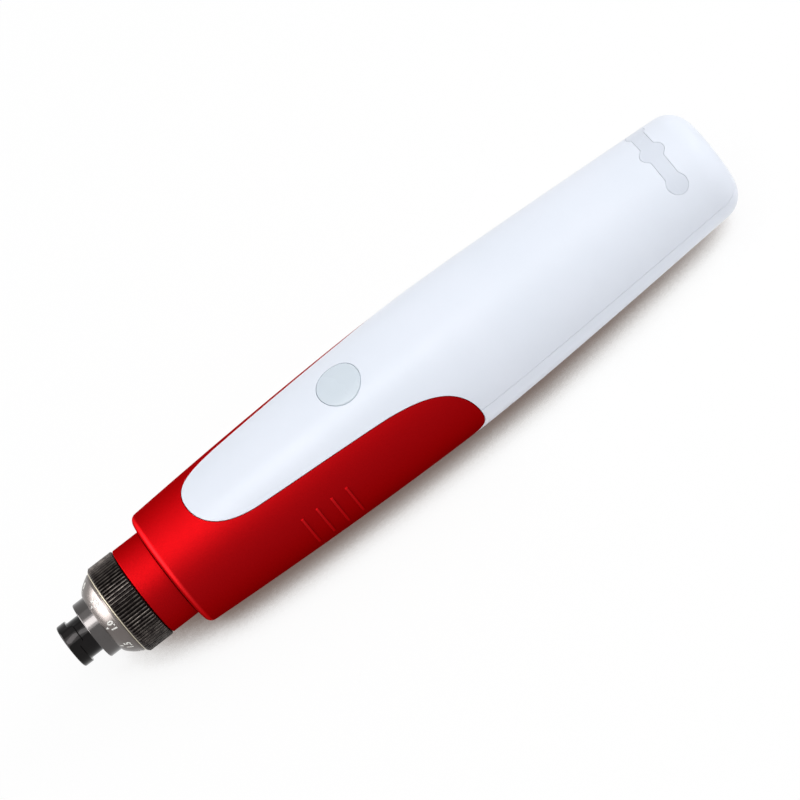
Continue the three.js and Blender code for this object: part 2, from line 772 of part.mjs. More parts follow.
function bayonetLug(turn) {
  const [start, end] = [turn - lugHalfAngle, turn + lugHalfAngle];
  return arcBar(start, end, 6, (angle) => {
    const toEnd = Math.min(angle - start, end - angle);
    const rise = Math.min(1, toEnd / lugRampAngle);
    const rear = headLength + lugLength * rise;
    const front = headLength - headChamfer;
    const inner = stemRadius - headChamfer;
    return [[front, inner], [front, headRadius], [rear, headRadius], [rear, inner]];
  });
}
const barrel = turned([
  [0, boreRadius + headChamfer], [0, headRadius - headChamfer], [headChamfer, headRadius],
  [headLength, headRadius], [headLength, stemRadius],
  [flangeBack, stemRadius], [flangeBack, seatInner], [seatAt, seatInner],
  [seatAt, carrierRadius - seatStep], [flangeBack, carrierRadius],
  [sealGroove[0], carrierRadius], [sealGroove[0], grooveFloor],
  [sealGroove[1], grooveFloor], [sealGroove[1], carrierRadius],
  [carrierRear, carrierRadius], [carrierRear, carrierBore],
  [boreLength, carrierBore], [boreLength, boreRadius], [headChamfer, boreRadius],
])
  .add(bayonetLug(lugTurn))
  .add(bayonetLug(lugTurn + Math.PI))
  .subtract(post(pinPlay, -carrierRadius - overrun, 0, pinAt, 0));
add('bayonet_barrel', barrel, finishes.darkChrome());
add('barrel_seal', seal(barrelSealAt, carrierRadius - barrelSealRadius + clearance / 3, barrelSealRadius),
  finishes.rubber());
const pinTip = ringBore + grooveDepth - clearance;
add('follower_pin', post(pinRadius, -pinTip, -carrierBore - clearance, pinAt, 0), finishes.steel());

// Needle bar with its hook, guided by a bush and pushed back by a spring
const barAt = seatAt + barFromSeat;
const bushRear = bushAt + bushLength;
const barRear = followerAt + followerLength - clearance - needleBarRadius / 2;
const needleBar = turned([
  [barAt, 0], [barAt, hookRadius], [barAt + hookLength, hookRadius], [barAt + hookLength, needleBarRadius],
  [barRear, needleBarRadius], [barRear, 0],
], smallSides);
add('needle_bar', needleBar, finishes.steel());
add('guide_bush', tube(needleBarRadius + clearance, carrierRadius, bushAt, bushRear), finishes.brass());
const cupDepth = barRear + clearance;
const follower = turned([
  [followerAt, needleBarRadius + clearance], [followerAt, followerRadius],
  [followerAt + followerLength, followerRadius], [followerAt + followerLength, 0],
  [cupDepth, 0], [cupDepth, needleBarRadius + clearance],
  [followerAt, needleBarRadius + clearance],
], smallSides);
add('cam_follower', follower, finishes.naturalPlastic());
add('return_spring', coil(
  bushRear + clearance, followerAt - clearance, springRadius, springWireRadius, springTurns,
), finishes.steel());

// Face cam on the motor shaft, its sloping face pushing the follower once a turn
const camSide = camRadius + overrun;
const camSlope = new THREE.Shape([
  new THREE.Vector2(camAt, camSide), new THREE.Vector2(camAt + camRise, -camSide),
  new THREE.Vector2(camAt - overrun, -camSide), new THREE.Vector2(camAt - overrun, camSide),
]);
const slopeCut = new THREE.ExtrudeGeometry(camSlope, { depth: 4 * camRadius, bevelEnabled: false });
const camBack = camAt + camLength;
const hubRadius = shaftRadius + clearance;
const cam = rod(camRadius, camAt, camBack, largeSides)
  .subtract(solid(slopeCut.translate(0, 0, -2 * camRadius).rotateX(Math.PI / 2)))
  .subtract(rod(hubRadius, camBack - camLength / 2, camBack + overrun));
add('drive_cam', cam, finishes.naturalPlastic());

// Motor: mount plate, can, magnets, wound rotor, brushes, end bell and shaft bushes
const motorRadius = cavityRadius(motorAt) - 2 * clearance - damperWall;
const motorScrewFromAxis = motorRadius - motorScrewInset;
const canBore = motorRadius - motorSheet;
const frontSheetRear = motorAt + motorFrontSheet;
const shaftBushRadius = hubRadius + bushWall;
const screwHoles = (from, to) => bothSides((side) => rod(pilotRadius, from, to)
  .translate([0, side * motorScrewFromAxis, 0]));
const mountAt = motorAt - clearance - mountLength;
const mountRadius = cavityRadius(mountAt) - clearance;
const mount = tube(camRadius + 2 * clearance, mountRadius, mountAt, mountAt + mountLength)
  .subtract(screwHoles(mountAt - overrun, motorAt));
add('motor_mount', mount, finishes.naturalPlastic());
const motorScrew = rod(screwHeadRadius, mountAt - clearance - screwHeadHeight, mountAt - clearance)
  .add(rod(screwRadius, mountAt - screwHeadHeight, frontSheetRear + clearance));
addPair('motor_screw', (side) => motorScrew.translate([0, side * motorScrewFromAxis, 0]), finishes.steel);
const damperAt = motorAt + damperFromFront;
const damperRadius = cavityRadius(damperAt) - clearance;
const damper = tube(motorRadius + clearance, damperRadius, damperAt, damperAt + damperLength);
add('motor_damper', damper, finishes.rubber());
const can = turned([
  [motorAt, shaftBushRadius + clearance], [motorAt, motorRadius], [motorRear, motorRadius],
  [motorRear, canBore], [frontSheetRear, canBore], [frontSheetRear, shaftBushRadius + clearance],
]).subtract(screwHoles(motorAt - overrun, frontSheetRear + overrun));
add('motor_can', can, finishes.steel());
const magnetOuter = canBore - clearance;
const magnetInner = magnetOuter - magnetWall;
const armatureAt = motorAt + armatureFromFront;
const commutatorRear = motorRear - brushRoom;
const commutatorAt = commutatorRear - commutatorLength;
const armatureRear = commutatorAt - commutatorGap;
const magnet = (middle) => arcBar(middle - magnetHalfAngle, middle + magnetHalfAngle, 10, () => [
  [armatureAt - overrun, magnetInner], [armatureAt - overrun, magnetOuter],
  [armatureRear + overrun, magnetOuter], [armatureRear + overrun, magnetInner],
]);
add('upper_magnet', magnet(0), finishes.magnet());
add('lower_magnet', magnet(Math.PI), finishes.magnet());
const armatureRadius = magnetInner - 2 * clearance;
let armature = tube(hubRadius, armatureRadius, armatureAt, armatureRear, largeSides);
for (let k = 0; k < poleCount; k += 1) {
  const slot = block([armatureAt - overrun, armatureRear + overrun], [-armatureSlot / 2, armatureSlot / 2],
    [armatureRadius / 2, ringRadius]);
  armature = armature.subtract(slot.rotate([(k * 360) / poleCount, 0, 0]));
}
add('armature', armature, finishes.copper());
const commutator = tube(hubRadius, commutatorRadius, commutatorAt, commutatorRear, smallSides);
add('commutator', commutator, finishes.copper());
const brushMiddle = commutatorAt + commutatorLength / 2;
const brushFrom = commutatorRadius + clearance;
const brush = block([brushMiddle - brushWidth / 2, brushMiddle + brushWidth / 2],
  [brushFrom, brushFrom + brushLength], [-brushWidth / 2, brushWidth / 2]);
const brushArm = block([brushMiddle + brushWidth / 2, motorRear],
  [brushFrom + brushLength / 2, brushFrom + brushLength], [-brushWidth / 2, brushWidth / 2]);
const brushAndArm = brush.add(brushArm);
addPair('motor_brush', (side) => (side > 0 ? brushAndArm : brushAndArm.mirror([0, 1, 0])), finishes.copper);
add('motor_shaft', rod(shaftRadius, camBack - camLength / 2 + clearance, endBellRear), finishes.steel());
add('front_shaft_bush', tube(hubRadius, shaftBushRadius, motorAt, motorAt + shaftBushLength, smallSides),
  finishes.brass());
const endBellAt = motorRear + clearance;
const bushSeat = shaftBushRadius + clearance;
const endBell = tube(bushSeat, motorRadius, endBellAt, endBellRear);
add('motor_end_bell', endBell, finishes.blackPlastic());
const rearBush = tube(hubRadius, shaftBushRadius, endBellAt, endBellRear, smallSides);
add('rear_shaft_bush', rearBush, finishes.brass());
const terminal = (side) => block(
  [endBellRear + clearance, endBellRear + clearance + terminalLength],
  [side * terminalFromAxis - terminalThickness / 2, side * terminalFromAxis + terminalThickness / 2],
  [-terminalWidth / 2, terminalWidth / 2],
);
addPair('motor_terminal', terminal, finishes.nickel);

// Battery cell in its tray, with a nickel tab at each end that reaches the board
const cell = turned([
  [cellAt, 0], [cellAt, cellRadius], [cellRear, cellRadius], [cellRear, capRadius],
  [cellRear + capHeight, capRadius], [cellRear + capHeight, 0],
]).translate([0, 0, cellMiddle]);
add('battery_cell', cell, finishes.cellWrap());
const trayHalf = cellRadius + clearance + trayWall;
const railTop = boardBottom - clearance;
const trayEndTop = cellMiddle + cellRadius / 2;
const tray = cavitySlice(trayAt, trayRear)
  .intersect(block([trayAt, trayRear], [-trayHalf, trayHalf], [-bellyDepth, railTop]))
  .subtract(rod(cellRadius + clearance, trayAt + trayWall, trayRear - trayWall, largeSides)
    .translate([0, 0, cellMiddle]))
  .subtract(block([trayAt + trayWall, trayRear - trayWall],
    [-cellRadius - clearance, cellRadius + clearance], [cellMiddle, crestRadius]))
  .subtract(block([trayAt - overrun, trayRear + overrun],
    [-cellRadius - clearance, cellRadius + clearance], [trayEndTop, crestRadius]));
add('battery_tray', tray, finishes.blackPlastic());
const tab = (from) => block([from, from + tabThickness], [-tabWidth / 2, tabWidth / 2],
  [cellMiddle - tabWidth / 2, railTop]);
add('front_cell_tab', tab(trayAt + trayWall + clearance), finishes.nickel());
add('rear_cell_tab', tab(trayRear - trayWall - clearance - tabThickness), finishes.nickel());

// Main board on the tray's rails, its tongue between the front bosses carrying the switch
const tongueHalf = frontScrewFromAxis - bossRadius - clearance;
const boardHalf = trayHalf - clearance;
const tongueAt = buttonAt - tongueLength;
const board = block([trayAt, trayRear], [-boardHalf, boardHalf], [boardBottom, boardTop])
  .add(block([tongueAt, trayAt + overrun], [-tongueHalf, tongueHalf], [boardBottom, boardTop]));
add('circuit_board', board, finishes.boardGreen());
const onBoard = (x, halfX, halfY, bottom, height) => block(
  [x - halfX, x + halfX], [-halfY, halfY], [bottom + clearance / 3, bottom + clearance / 3 + height],
);
const speedSwitch = onBoard(buttonAt, switchSize / 2, switchSize / 2, boardTop, switchHeight)
  .add(post(plungerRadius, boardTop + switchHeight / 2, plungerTop, buttonAt, 0));
add('speed_switch', speedSwitch, finishes.blackPlastic());
const chipAt = (buttonAt + trayRear) / 2;
const chip = onBoard(chipAt, chipSize / 2, chipSize / 2, boardTop, chipHeight);
add('control_chip', chip, finishes.blackPlastic());

// Speed button: a round cap that follows the body, with a flange that holds it under the top shell
const flangeSection = bodyForm(wall + clearance, shellAt);
const crown = bodyForm(-buttonProud, shellAt);
const cap = post(buttonRadius, flangeBottom, crestRadius + overrun, buttonAt, 0, largeSides);
const capFlange = post(flangeOut, flangeBottom, crestRadius, buttonAt, 0, largeSides);
const button = cap.intersect(crown)
  .add(capFlange.intersect(flangeSection))
  .add(post(buttonStemRadius, stemBottom, flangeBottom + clearance, buttonAt, 0));
add('speed_button', button, finishes.paleClear());

// Light window, flush with the top shell
const windowBand = bodyForm(0, shellAt).subtract(cavity);
add('light_window', windowShape(0).intersect(windowBand), finishes.paleClear());

// Charging board with its lamps, and the socket that hangs under it
const chargeHalf = chargeBoardWidth / 2;
add('charge_board', block([chargeBoardAt, chargeBoardRear], [-chargeHalf, chargeHalf],
  [chargeBoardBottom, chargeBoardTop]), finishes.boardGreen());
const lampOut = chargeHalf - ledSize;
const lamp = onBoard(windowAt, ledSize / 2, ledSize / 2, chargeBoardTop, ledHeight);
add('middle_status_lamp', lamp, finishes.ledYellow());
addPair('status_lamp', (side) => lamp.translate([0, side * lampOut, 0]), finishes.ledYellow);
const socketRear = penLength - wall - clearance;
const socketHalf = socketWidth / 2;
const boreBottom = penLength - clearance - socketBoreDepth;
const socket = block([socketFront, socketRear], [-socketHalf, socketHalf], [-socketHalf, socketHalf])
  .add(rod(socketCollarRadius, socketRear - overrun, penLength - clearance, largeSides))
  .subtract(rod(socketBoreRadius, boreBottom, penLength + overrun, largeSides));
add('charge_socket', socket, finishes.blackPlastic());
add('charge_pin', rod(socketPinRadius, boreBottom + clearance, boreBottom + clearance + socketPinLength),
  finishes.nickel());

// Leads from the motor to the board, and from the board to the charging board
const leadFoot = endBellRear + clearance + terminalLength / 2;
const leadHead = tongueAt + tongueLength / 2;
const leadBottom = terminalWidth / 2 + clearance;
const leadTop = boardBottom - clearance;
const motorLead = (side) => lead([
  [leadFoot, side * terminalFromAxis, leadBottom],
  [leadFoot, side * terminalFromAxis, (2 * leadBottom + leadTop) / 3],
  [leadHead, side * terminalFromAxis, (leadBottom + 2 * leadTop) / 3],
  [leadHead, side * terminalFromAxis, leadTop],
]);
addPair('motor_lead', motorLead, finishes.leadRed);
const leadOut = tabWidth / 3;
const chargeLead = (side) => lead([
  [trayRear - trayWall, side * leadOut, boardTop + clearance],
  [trayRear, side * leadOut, boardTop + 4 * leadRadius],
  [rearScrewAt, side * leadOut, boardTop + 3 * leadRadius],
  [chargeBoardAt, side * leadOut, chargeBoardTop + 4 * leadRadius],
  [chargeBoardAt + boardPostInset / 2, side * leadOut, chargeBoardTop + clearance],
]);
addPair('charge_lead', chargeLead, finishes.leadRed);

const model = new THREE.Group();
model.add(pen);

export default model;
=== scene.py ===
import math

import bmesh
import bpy
import numpy as np
from mathutils import Matrix, Vector
from mathutils.geometry import interpolate_bezier


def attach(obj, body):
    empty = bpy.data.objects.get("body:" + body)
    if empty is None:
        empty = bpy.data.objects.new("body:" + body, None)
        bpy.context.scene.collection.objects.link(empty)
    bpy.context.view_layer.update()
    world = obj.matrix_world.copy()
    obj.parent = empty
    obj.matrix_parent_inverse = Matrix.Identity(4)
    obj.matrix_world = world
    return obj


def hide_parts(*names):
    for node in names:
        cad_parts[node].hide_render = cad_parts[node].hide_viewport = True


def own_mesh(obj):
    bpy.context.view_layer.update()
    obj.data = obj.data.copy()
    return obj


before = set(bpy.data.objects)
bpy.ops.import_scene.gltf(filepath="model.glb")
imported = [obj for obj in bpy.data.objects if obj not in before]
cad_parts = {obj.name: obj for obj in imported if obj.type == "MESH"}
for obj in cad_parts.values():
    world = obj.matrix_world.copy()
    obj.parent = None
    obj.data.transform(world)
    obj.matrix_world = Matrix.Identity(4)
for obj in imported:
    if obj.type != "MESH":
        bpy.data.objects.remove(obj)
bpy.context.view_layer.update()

# The studio: the pen lies on a pale table under a large softbox, with a wide sheen on whatever
# mirrors it and a small bare lamp for the sparkle. The camera looks square across the pen.


class Field:
    """One socket of a finish: sums on it add Math nodes, and make() adds any other node."""

    def __init__(self, tree, socket=None):
        self.tree, self.socket = tree, socket

    def make(self, kind, inputs=None, output=0, **settings):
        node = self.tree.nodes.new("ShaderNode" + kind)
        for name, value in settings.items():
            if name != "stops":
                setattr(node, name, value)
                continue
            elements = node.color_ramp.elements
            elements.remove(elements[1])
            elements[0].position, elements[0].color = value[0]
            for position, color in value[1:]:
                elements.new(position).color = color
        for name, value in (inputs or {}).items():
            if isinstance(value, Field):
                self.tree.links.new(value.socket, node.inputs[name])
            else:
                node.inputs[name].default_value = value
        return Field(self.tree, node.outputs[output])

    def sum(self, operation, *values):
        return self.make("Math", dict(enumerate(values)), operation=operation)

    def __add__(self, other):
        return self.sum("ADD", self, other)

    def __sub__(self, other):
        return self.sum("SUBTRACT", self, other)

    def __rsub__(self, other):
        return self.sum("SUBTRACT", other, self)

    def __mul__(self, other):
        return self.sum("MULTIPLY", self, other)

    def tint(self, low, high):
        """A colour between low and high, as this value goes from 0 to 1."""
        return self.make("Mix", {0: self, 6: low, 7: high}, output=2, data_type="RGBA")

    def stretch(self, low, high):
        """This value with low moved to 0 and high to 1, and kept between them."""
        return self.make("MapRange", {"Value": self, "From Min": low, "From Max": high})


def seen(*parts):
    """A colour as it is seen, in parts of 255, as the shader takes it."""
    return tuple((p / 255 / 12.92 if p < 11 else ((p / 255 + .055) / 1.055) ** 2.4) for p in parts) + (1,)


def backdrop_share(start):
    """1 for what the camera sees, straight on or by reflection, and 0 for the light itself."""
    rays = [start.make("LightPath", output=f"Is {kind} Ray") for kind in ("Camera", "Glossy", "Transmission")]
    return start.sum("MAXIMUM", start.sum("MAXIMUM", rays[0], rays[1]), rays[2])


world = bpy.data.worlds.new("studio_glow")
world.use_nodes = True
bpy.context.scene.world = world
glow = Field(world.node_tree)
share = backdrop_share(glow)
world.node_tree.links.new((share * .5 + .5).socket, world.node_tree.nodes["Background"].inputs["Strength"])
world.node_tree.nodes["Background"].inputs["Color"].default_value = (1, 1, 1, 1)


def lamp(name, place, size, power, lights_all=True):
    light = bpy.data.lights.new(name, "AREA")
    light.shape, light.energy = "RECTANGLE", power
    light.size, light.size_y = size
    stand = bpy.data.objects.new(name, light)
    stand.location = place
    stand.rotation_euler = Vector(place).to_track_quat("Z", "Y").to_euler()
    stand.visible_diffuse = lights_all
    bpy.context.scene.collection.objects.link(stand)


lamp("softbox", (0, -.2, 1.58), (1.7, 1.2), 13.2)
lamp("sheen", (-.1, .25, 1.57), (3.0, 2.0), 9, False)
lamp("nose_glow", (-1.14, .35, .68), (1.6, .8), 42, False)
lamp("tail_glow", (1.3, .2, .75), (.6, .6), 5.5)
lamp("bare_lamp", (-.25, -.18, 1.54), (.5, .7), 7.5, False)

table = bpy.data.materials.new("table")
table.use_nodes = True
top = Field(table.node_tree)
table.node_tree.nodes.remove(table.node_tree.nodes["Principled BSDF"])
matt = top.make("BsdfDiffuse", {"Color": (.95, .95, .95, 1)})
# the table shows white, with a grey shadow painted in from occlusion where the pen stands over it
open_sky = top.make("AmbientOcclusion", {"Distance": .06}, output="AO", samples=16)
# painted light: the painted shadow is made lighter towards the tail
tail_shadow_lift = top.make("SeparateXYZ", {0: top.make("TexCoord", output="Object")}).stretch(.03, .1)
painted_shadow_tone = top.make("ValToRGB", {"Fac": open_sky + tail_shadow_lift * .12}, stops=[
    (.2, seen(106, 88, 80)), (.31, seen(137, 124, 117)), (.37, seen(170, 163, 159)),
    (.43, seen(222, 219, 217)), (.51, seen(250, 250, 250)), (.57, (1, 1, 1, 1))])
bright = top.make("Emission", {"Color": painted_shadow_tone, "Strength": 1.0})
lit = top.make("MixShader", {0: backdrop_share(top) * .92, 1: matt, 2: bright})
table.node_tree.links.new(lit.socket, table.node_tree.nodes["Material Output"].inputs["Surface"])
slab = bpy.data.meshes.new("table_top")
slab.from_pydata([(x, y, 0) for x, y in ((-3, -3), (3, -3), (3, 3), (-3, 3))], [], [(0, 1, 2, 3)])
slab.materials.append(table)
floor = bpy.data.objects.new("table_top", slab)
bpy.context.scene.collection.objects.link(floor)

look_down, roll, lens = math.radians(54.2), math.radians(37.7), 192.8
toward = Vector((0, -math.cos(look_down), math.sin(look_down)))
rise = Vector((0, math.sin(look_down), math.cos(look_down)))
right = Vector((math.cos(roll), 0, 0)) - math.sin(roll) * rise
upward = Vector((math.sin(roll), 0, 0)) + math.cos(roll) * rise
camera = bpy.data.objects.new("camera", bpy.data.cameras.new("camera"))
aim = Vector((.0016, 0, .0169)) - .00133 * rise
camera.data.lens = lens
camera.matrix_world = (
    Matrix.Translation(aim + toward) @ Matrix((right, upward, toward)).transposed().to_4x4()
)
bpy.context.scene.collection.objects.link(camera)
bpy.context.scene.camera = camera
bpy.context.scene.view_settings.view_transform = "Standard"

# The housing: two moulded halves in white high gloss ABS, 2.8 mm thick, parted along the
# sides and pulled together by four screws from the belly. They step down under the grip.
grip_front, shell_front, cavity_front, tail = 29.1, 30.6, 32.6, 189.0
front_radius, crest_radius, tail_radius = 15.4, 18.3, 14.1
crest, crest_softness = 107.1, 12.0
front_fullness, rear_fullness, tail_height_share = 1.7, 1.2, .96
tail_corner, wall, grip_wall, parting, shell_lip = 6.0, 2.8, 1.2, .12, .12
fit_gap = .3  # what pieces that meet keep between them
spigot_hole, tail_hole, tail_hole_round = 11.1, 4.3, .3
half_length, belly = tail / 2, 16.9  # the frame's middle, and the axis's height over the table
clear = 20  # this far from the axis a cutting tool is out past the body
cut_front, cut_rear, cut_bottom = 30, 190, -19  # past the housing's ends and its underside


def at(along, across, up):
    """A place in millimetres from the nose tip and the pen's axis, in metres in the frame."""
    return ((along - half_length) / 1000, across / 1000, (up + belly) / 1000)


def half_width(along):
    ahead = along < crest
    span, low = np.where(ahead, crest - grip_front, tail - crest), np.where(ahead, front_radius, tail_radius)
    fullness = np.where(ahead, front_fullness, rear_fullness)
    far = np.hypot(span, crest_softness)
    least = (crest_softness / far) ** fullness
    fall = (np.hypot(along - crest, crest_softness) / far) ** fullness
    return crest_radius - (crest_radius - low) * (fall - least) / (1 - least)


def half_height(along):
    return half_width(along) * (1 - (1 - tail_height_share) * (along - grip_front) / (tail - grip_front))


def station(along, inset):
    """One place of a lengthwise profile: (along, half width, half height)."""
    return along, float(half_width(along)) - inset, float(half_height(along)) - inset


def quarter(steps):
    """(sine, cosine) from 0 to 90 degrees."""
    return [(math.sin(k * math.pi / 2 / steps), math.cos(k * math.pi / 2 / steps)) for k in range(steps + 1)]


# The grip's edge, unrolled, as shares of the way along and round to a lobe's tip
edge_shares = [(0, 0), (0, .26), (.075, .385), (.2, .412), (.37, .44), (.55, .458), (.72, .488), (.93, .535),
               (1, .68), (1, 1)]
tongue_at, lobe_at, lobe_angle = grip_front + 12.9, grip_front + 80.3, math.radians(92)
shares = [edge_shares[0]]
for k in (0, 3, 6):
    bend = [Vector((*place, 0)) for place in edge_shares[k:k + 4]]
    shares += [tuple(p)[:2] for p in interpolate_bezier(*bend, 60)[1:]]
edge = [(lobe_angle * b, tongue_at + (lobe_at - tongue_at) * a) for a, b in shares]
edge += [(math.pi - (math.pi - lobe_angle) * b, tongue_at + (lobe_at - tongue_at) * a)
         for a, b in reversed(shares[:-1])]
edge_angle, edge_along = np.array(edge).T
edge_round = edge_angle * crest_radius
edge_run = np.concatenate(([0], np.cumsum(np.hypot(np.diff(edge_round), np.diff(edge_along)))))
edge_lean = np.hypot(1, np.gradient(edge_along, edge_round))


def columns(first, last, count):
    """Angles from first to last, evenly far apart along the grip's edge, with both ends kept."""
    run = np.interp([first, last], edge_angle, edge_run)
    return [float(np.interp(r, edge_run, edge_angle)) for r in np.linspace(*run, count)]


def edge_at(angle):
    """Where the grip's edge lies at an angle, and how much longer a step across it is along the pen."""
    round_angle = abs((angle + math.pi) % (2 * math.pi) - math.pi)
    return [float(np.interp(round_angle, edge_angle, values)) for values in (edge_along, edge_lean)]


def make_mesh(name, points, faces):
    """A closed piece from points in millimetres; its faces are turned to look outwards."""
    mesh = bpy.data.meshes.new(name)
    mesh.from_pydata([at(*p) for p in points], [], faces)
    form = bmesh.new()
    form.from_mesh(mesh)
    bmesh.ops.remove_doubles(form, verts=form.verts, dist=1e-7)
    bmesh.ops.recalc_face_normals(form, faces=form.faces)
    form.to_mesh(mesh)
    form.free()
    thing = bpy.data.objects.new(name, mesh)
    bpy.context.scene.collection.objects.link(thing)
    return thing


def woven(name, rows, around=True, through=True):
    """A closed skin over rows of points. around joins the ends of each row, and through joins the
    last row to the first; what is left open is closed with one face."""
    high, wide = len(rows), len(rows[0])
    faces = [
        (r * wide + c, r * wide + (c + 1) % wide,
         (r + 1) % high * wide + (c + 1) % wide, (r + 1) % high * wide + c)
        for r in range(high if through else high - 1) for c in range(wide if around else wide - 1)
    ]
    if not around:
        faces += [tuple(r * wide for r in range(high)), tuple(r * wide + wide - 1 for r in range(high))]
    if not through:
        faces += [tuple(range(wide)), tuple(range((high - 1) * wide, high * wide))]
    return make_mesh(name, [p for row in rows for p in row], faces)


def post(along, across, radius, bottom, top, sides=48):
    """An upright round tool or boss; bottom and top are heights, or functions that give them."""
    turns = [2 * math.pi * k / sides for k in range(sides)]
    ring = [(along + radius * math.cos(a), across + radius * math.sin(a)) for a in turns]
    heights = [level if callable(level) else (lambda x, y, z=level: z) for level in (bottom, top)]
    return woven("post", [[(x, y, height(x, y)) for x, y in ring] for height in heights], through=False)


def combine(piece, tool, operation="DIFFERENCE"):
    """Cuts the tool out of the piece, joins it to it or keeps what both share. The tool is used up."""
    cut = piece.modifiers.new("cut", "BOOLEAN")
    cut.object, cut.operation, cut.solver = tool, operation, "EXACT"
    mesh = bpy.data.meshes.new_from_object(piece.evaluated_get(bpy.context.evaluated_depsgraph_get()))
    mesh.materials.clear()
    piece.modifiers.clear()
    piece.data = mesh
    bpy.data.objects.remove(tool)
    return piece


def smooth(thing, sharp_from=32):
    thing.data.shade_smooth()
    thing.data.set_sharp_from_angle(angle=math.radians(sharp_from))
    return thing


def follow_body(thing, proud=0.0, fillet=0.0):
    """Gives what lies on the body's skin the exact normals of its form, so that the gloss runs
    clean past every cut."""
    mesh = smooth(thing).data
    vertex = np.empty(len(mesh.loops), int)
    mesh.loops.foreach_get("vertex_index", vertex)
    places = np.empty(len(mesh.vertices) * 3)
    mesh.vertices.foreach_get("co", places)
    along, across, up = (places.reshape(-1, 3)[vertex] * 1000 + (half_length, 0, -belly)).T
    end = np.clip((along - (tail - tail_corner)) / tail_corner, 0, 1)
    front = np.clip(1 - (along - grip_front) / fillet, 0, 1) if fillet else 0 * along
    inset = tail_corner * (1 - np.sqrt(1 - end ** 2)) + fillet * (1 - np.sqrt(1 - front ** 2)) - proud
    width, height = half_width(along) - inset, half_height(along) - inset
    off = (np.hypot(across / width, up / height) - 1) * width
    slope = [(size(along + .05) - size(along - .05)) / .1 for size in (half_width, half_height)]
    side = np.stack((-(across / width) ** 2 * slope[0] / width - (up / height) ** 2 * slope[1] / height,
                     across / width ** 2, up / height ** 2), 1)
    side /= np.linalg.norm(side, axis=1)[:, None]
    normal = side * (np.sqrt(1 - end ** 2) * np.sqrt(1 - front ** 2))[:, None]
    normal[:, 0] += end - front
    normal /= np.linalg.norm(normal, axis=1)[:, None]
    corner_counts = [p.loop_total for p in mesh.polygons]
    facing = np.repeat([tuple(p.normal) for p in mesh.polygons], corner_counts, axis=0)
    # a corner off the skin, or on a face that turns away from it, keeps its own normal
    normal[(abs(off) > .02) | ((facing * normal).sum(1) < .8)] = 0
    mesh.normals_split_custom_set(normal)
    return thing


def dress(thing, body, material, slot, *nodes):
    """Gives a finished piece its material and sets it on its body in place of its nodes. The slot is not
    used.
    """
    thing.data.materials.append(material)
    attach(thing, body)
    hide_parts(*nodes)


def shell_column(angle, seam):
    """One lengthwise loop of the housing's wall at an angle; seam is the height it is parted at."""
    edge_here, lean = edge_at(angle)
    start, skin_end = edge_here + (parting / 2 + shell_lip) * lean, tail - tail_corner
    inner_corner, under_grip = tail_corner - wall, grip_wall + fit_gap
    loop = [(shell_front, spigot_hole, spigot_hole), station(shell_front, under_grip)]
    loop += [station(edge_here - lean, under_grip), station(edge_here + parting / 2 * lean, under_grip)]
    loop += [station(start - shell_lip * c * lean, shell_lip * (1 - s)) for s, c in quarter(5)]
    loop += [station(x, 0) for x in np.linspace(start, skin_end, 74)[1:-1]]
    loop += [station(skin_end + tail_corner * s, tail_corner * (1 - c)) for s, c in quarter(14)]
    for s, c in quarter(4):
        hole = tail_hole + tail_hole_round * (1 - s)
        loop.append((tail - tail_hole_round * (1 - c), hole, hole))
    loop += [(tail - wall, tail_hole, tail_hole)]
    loop += [station(tail - wall - inner_corner + inner_corner * s, wall + inner_corner * (1 - c))
             for s, c in reversed(quarter(6))]
    loop += [station(x, wall) for x in np.linspace(skin_end, cavity_front, 20)[1:]]
    loop += [(cavity_front, spigot_hole, spigot_hole)]
    if seam is None:
        return [(x, -w * math.sin(angle), h * math.cos(angle)) for x, w, h in loop]
    return [(x, -w * math.sin(angle), seam) for x, w, h in loop]


def half_shell(name, angles, seam):
    """One half of the housing over its column angles, from one parting face round to the other."""
    loops = [shell_column(a, seam if k in (0, len(angles) - 1) else None) for k, a in enumerate(angles)]
    return woven(name, [list(row) for row in zip(*loops)], around=False)


def wall_middle(sign):
    """The height of the middle of the top wall, or of the bottom wall, over a place."""
    def height(along, across):
        _, w, h = station(along, wall / 2)
        return sign * h * math.sqrt(1 - (across / w) ** 2)
    return height


screw_places = [(83.05, -7.6), (83.05, 7.6), (144.5, -8.0), (144.5, 8.0)]
screw_seat, screw_tip, boss_radius, pilot_radius, head_hole = -12.0, 6.0, 3.2, 1.3, 2.2
button_at, button_radius = 87.1, 5.55
button_flange, button_flange_bottom = 7.25, 12.165
button_gap, button_travel = .09, .5
window_at, window_gap, window_bulb, window_bulb_angle = 177.0, .07, 2.5, math.radians(38.7)
window_bar, window_middle_length, window_middle_width = 1.75, 3.1, 2.4


def window_outline(growth):
    """The light window from above: a bar with a round bulb at each end and a longer one in the middle."""
    end_out = float(half_width(window_at)) * math.sin(window_bulb_angle)
    bulb, bulb_across = window_bulb + growth, (window_bulb + growth) * math.cos(window_bulb_angle)
    reach = end_out + bulb_across
    outline = []
    for k in range(181):
        across = -reach * math.cos(math.pi * k / 180)
        spots = [((abs(across) - end_out) / bulb_across, bulb),
                 (across / (window_middle_width + growth), window_middle_length + growth)]
        lengths = [size * math.sqrt(max(0, 1 - share ** 2)) for share, size in spots]
        lengths.append((window_bar + growth) * (abs(across) < end_out))
        # the high power blends the three shapes with a small fillet
        outline.append((sum(length ** 5 for length in lengths) ** (1 / 5), across))
    return [(window_at + x, y) for x, y in outline] + [(window_at - x, y) for x, y in outline[-2:0:-1]]


def window_prism(growth):
    outline = window_outline(growth)
    return woven("window_prism", [[(x, y, z) for x, y in outline] for z in (5, clear)], through=False)


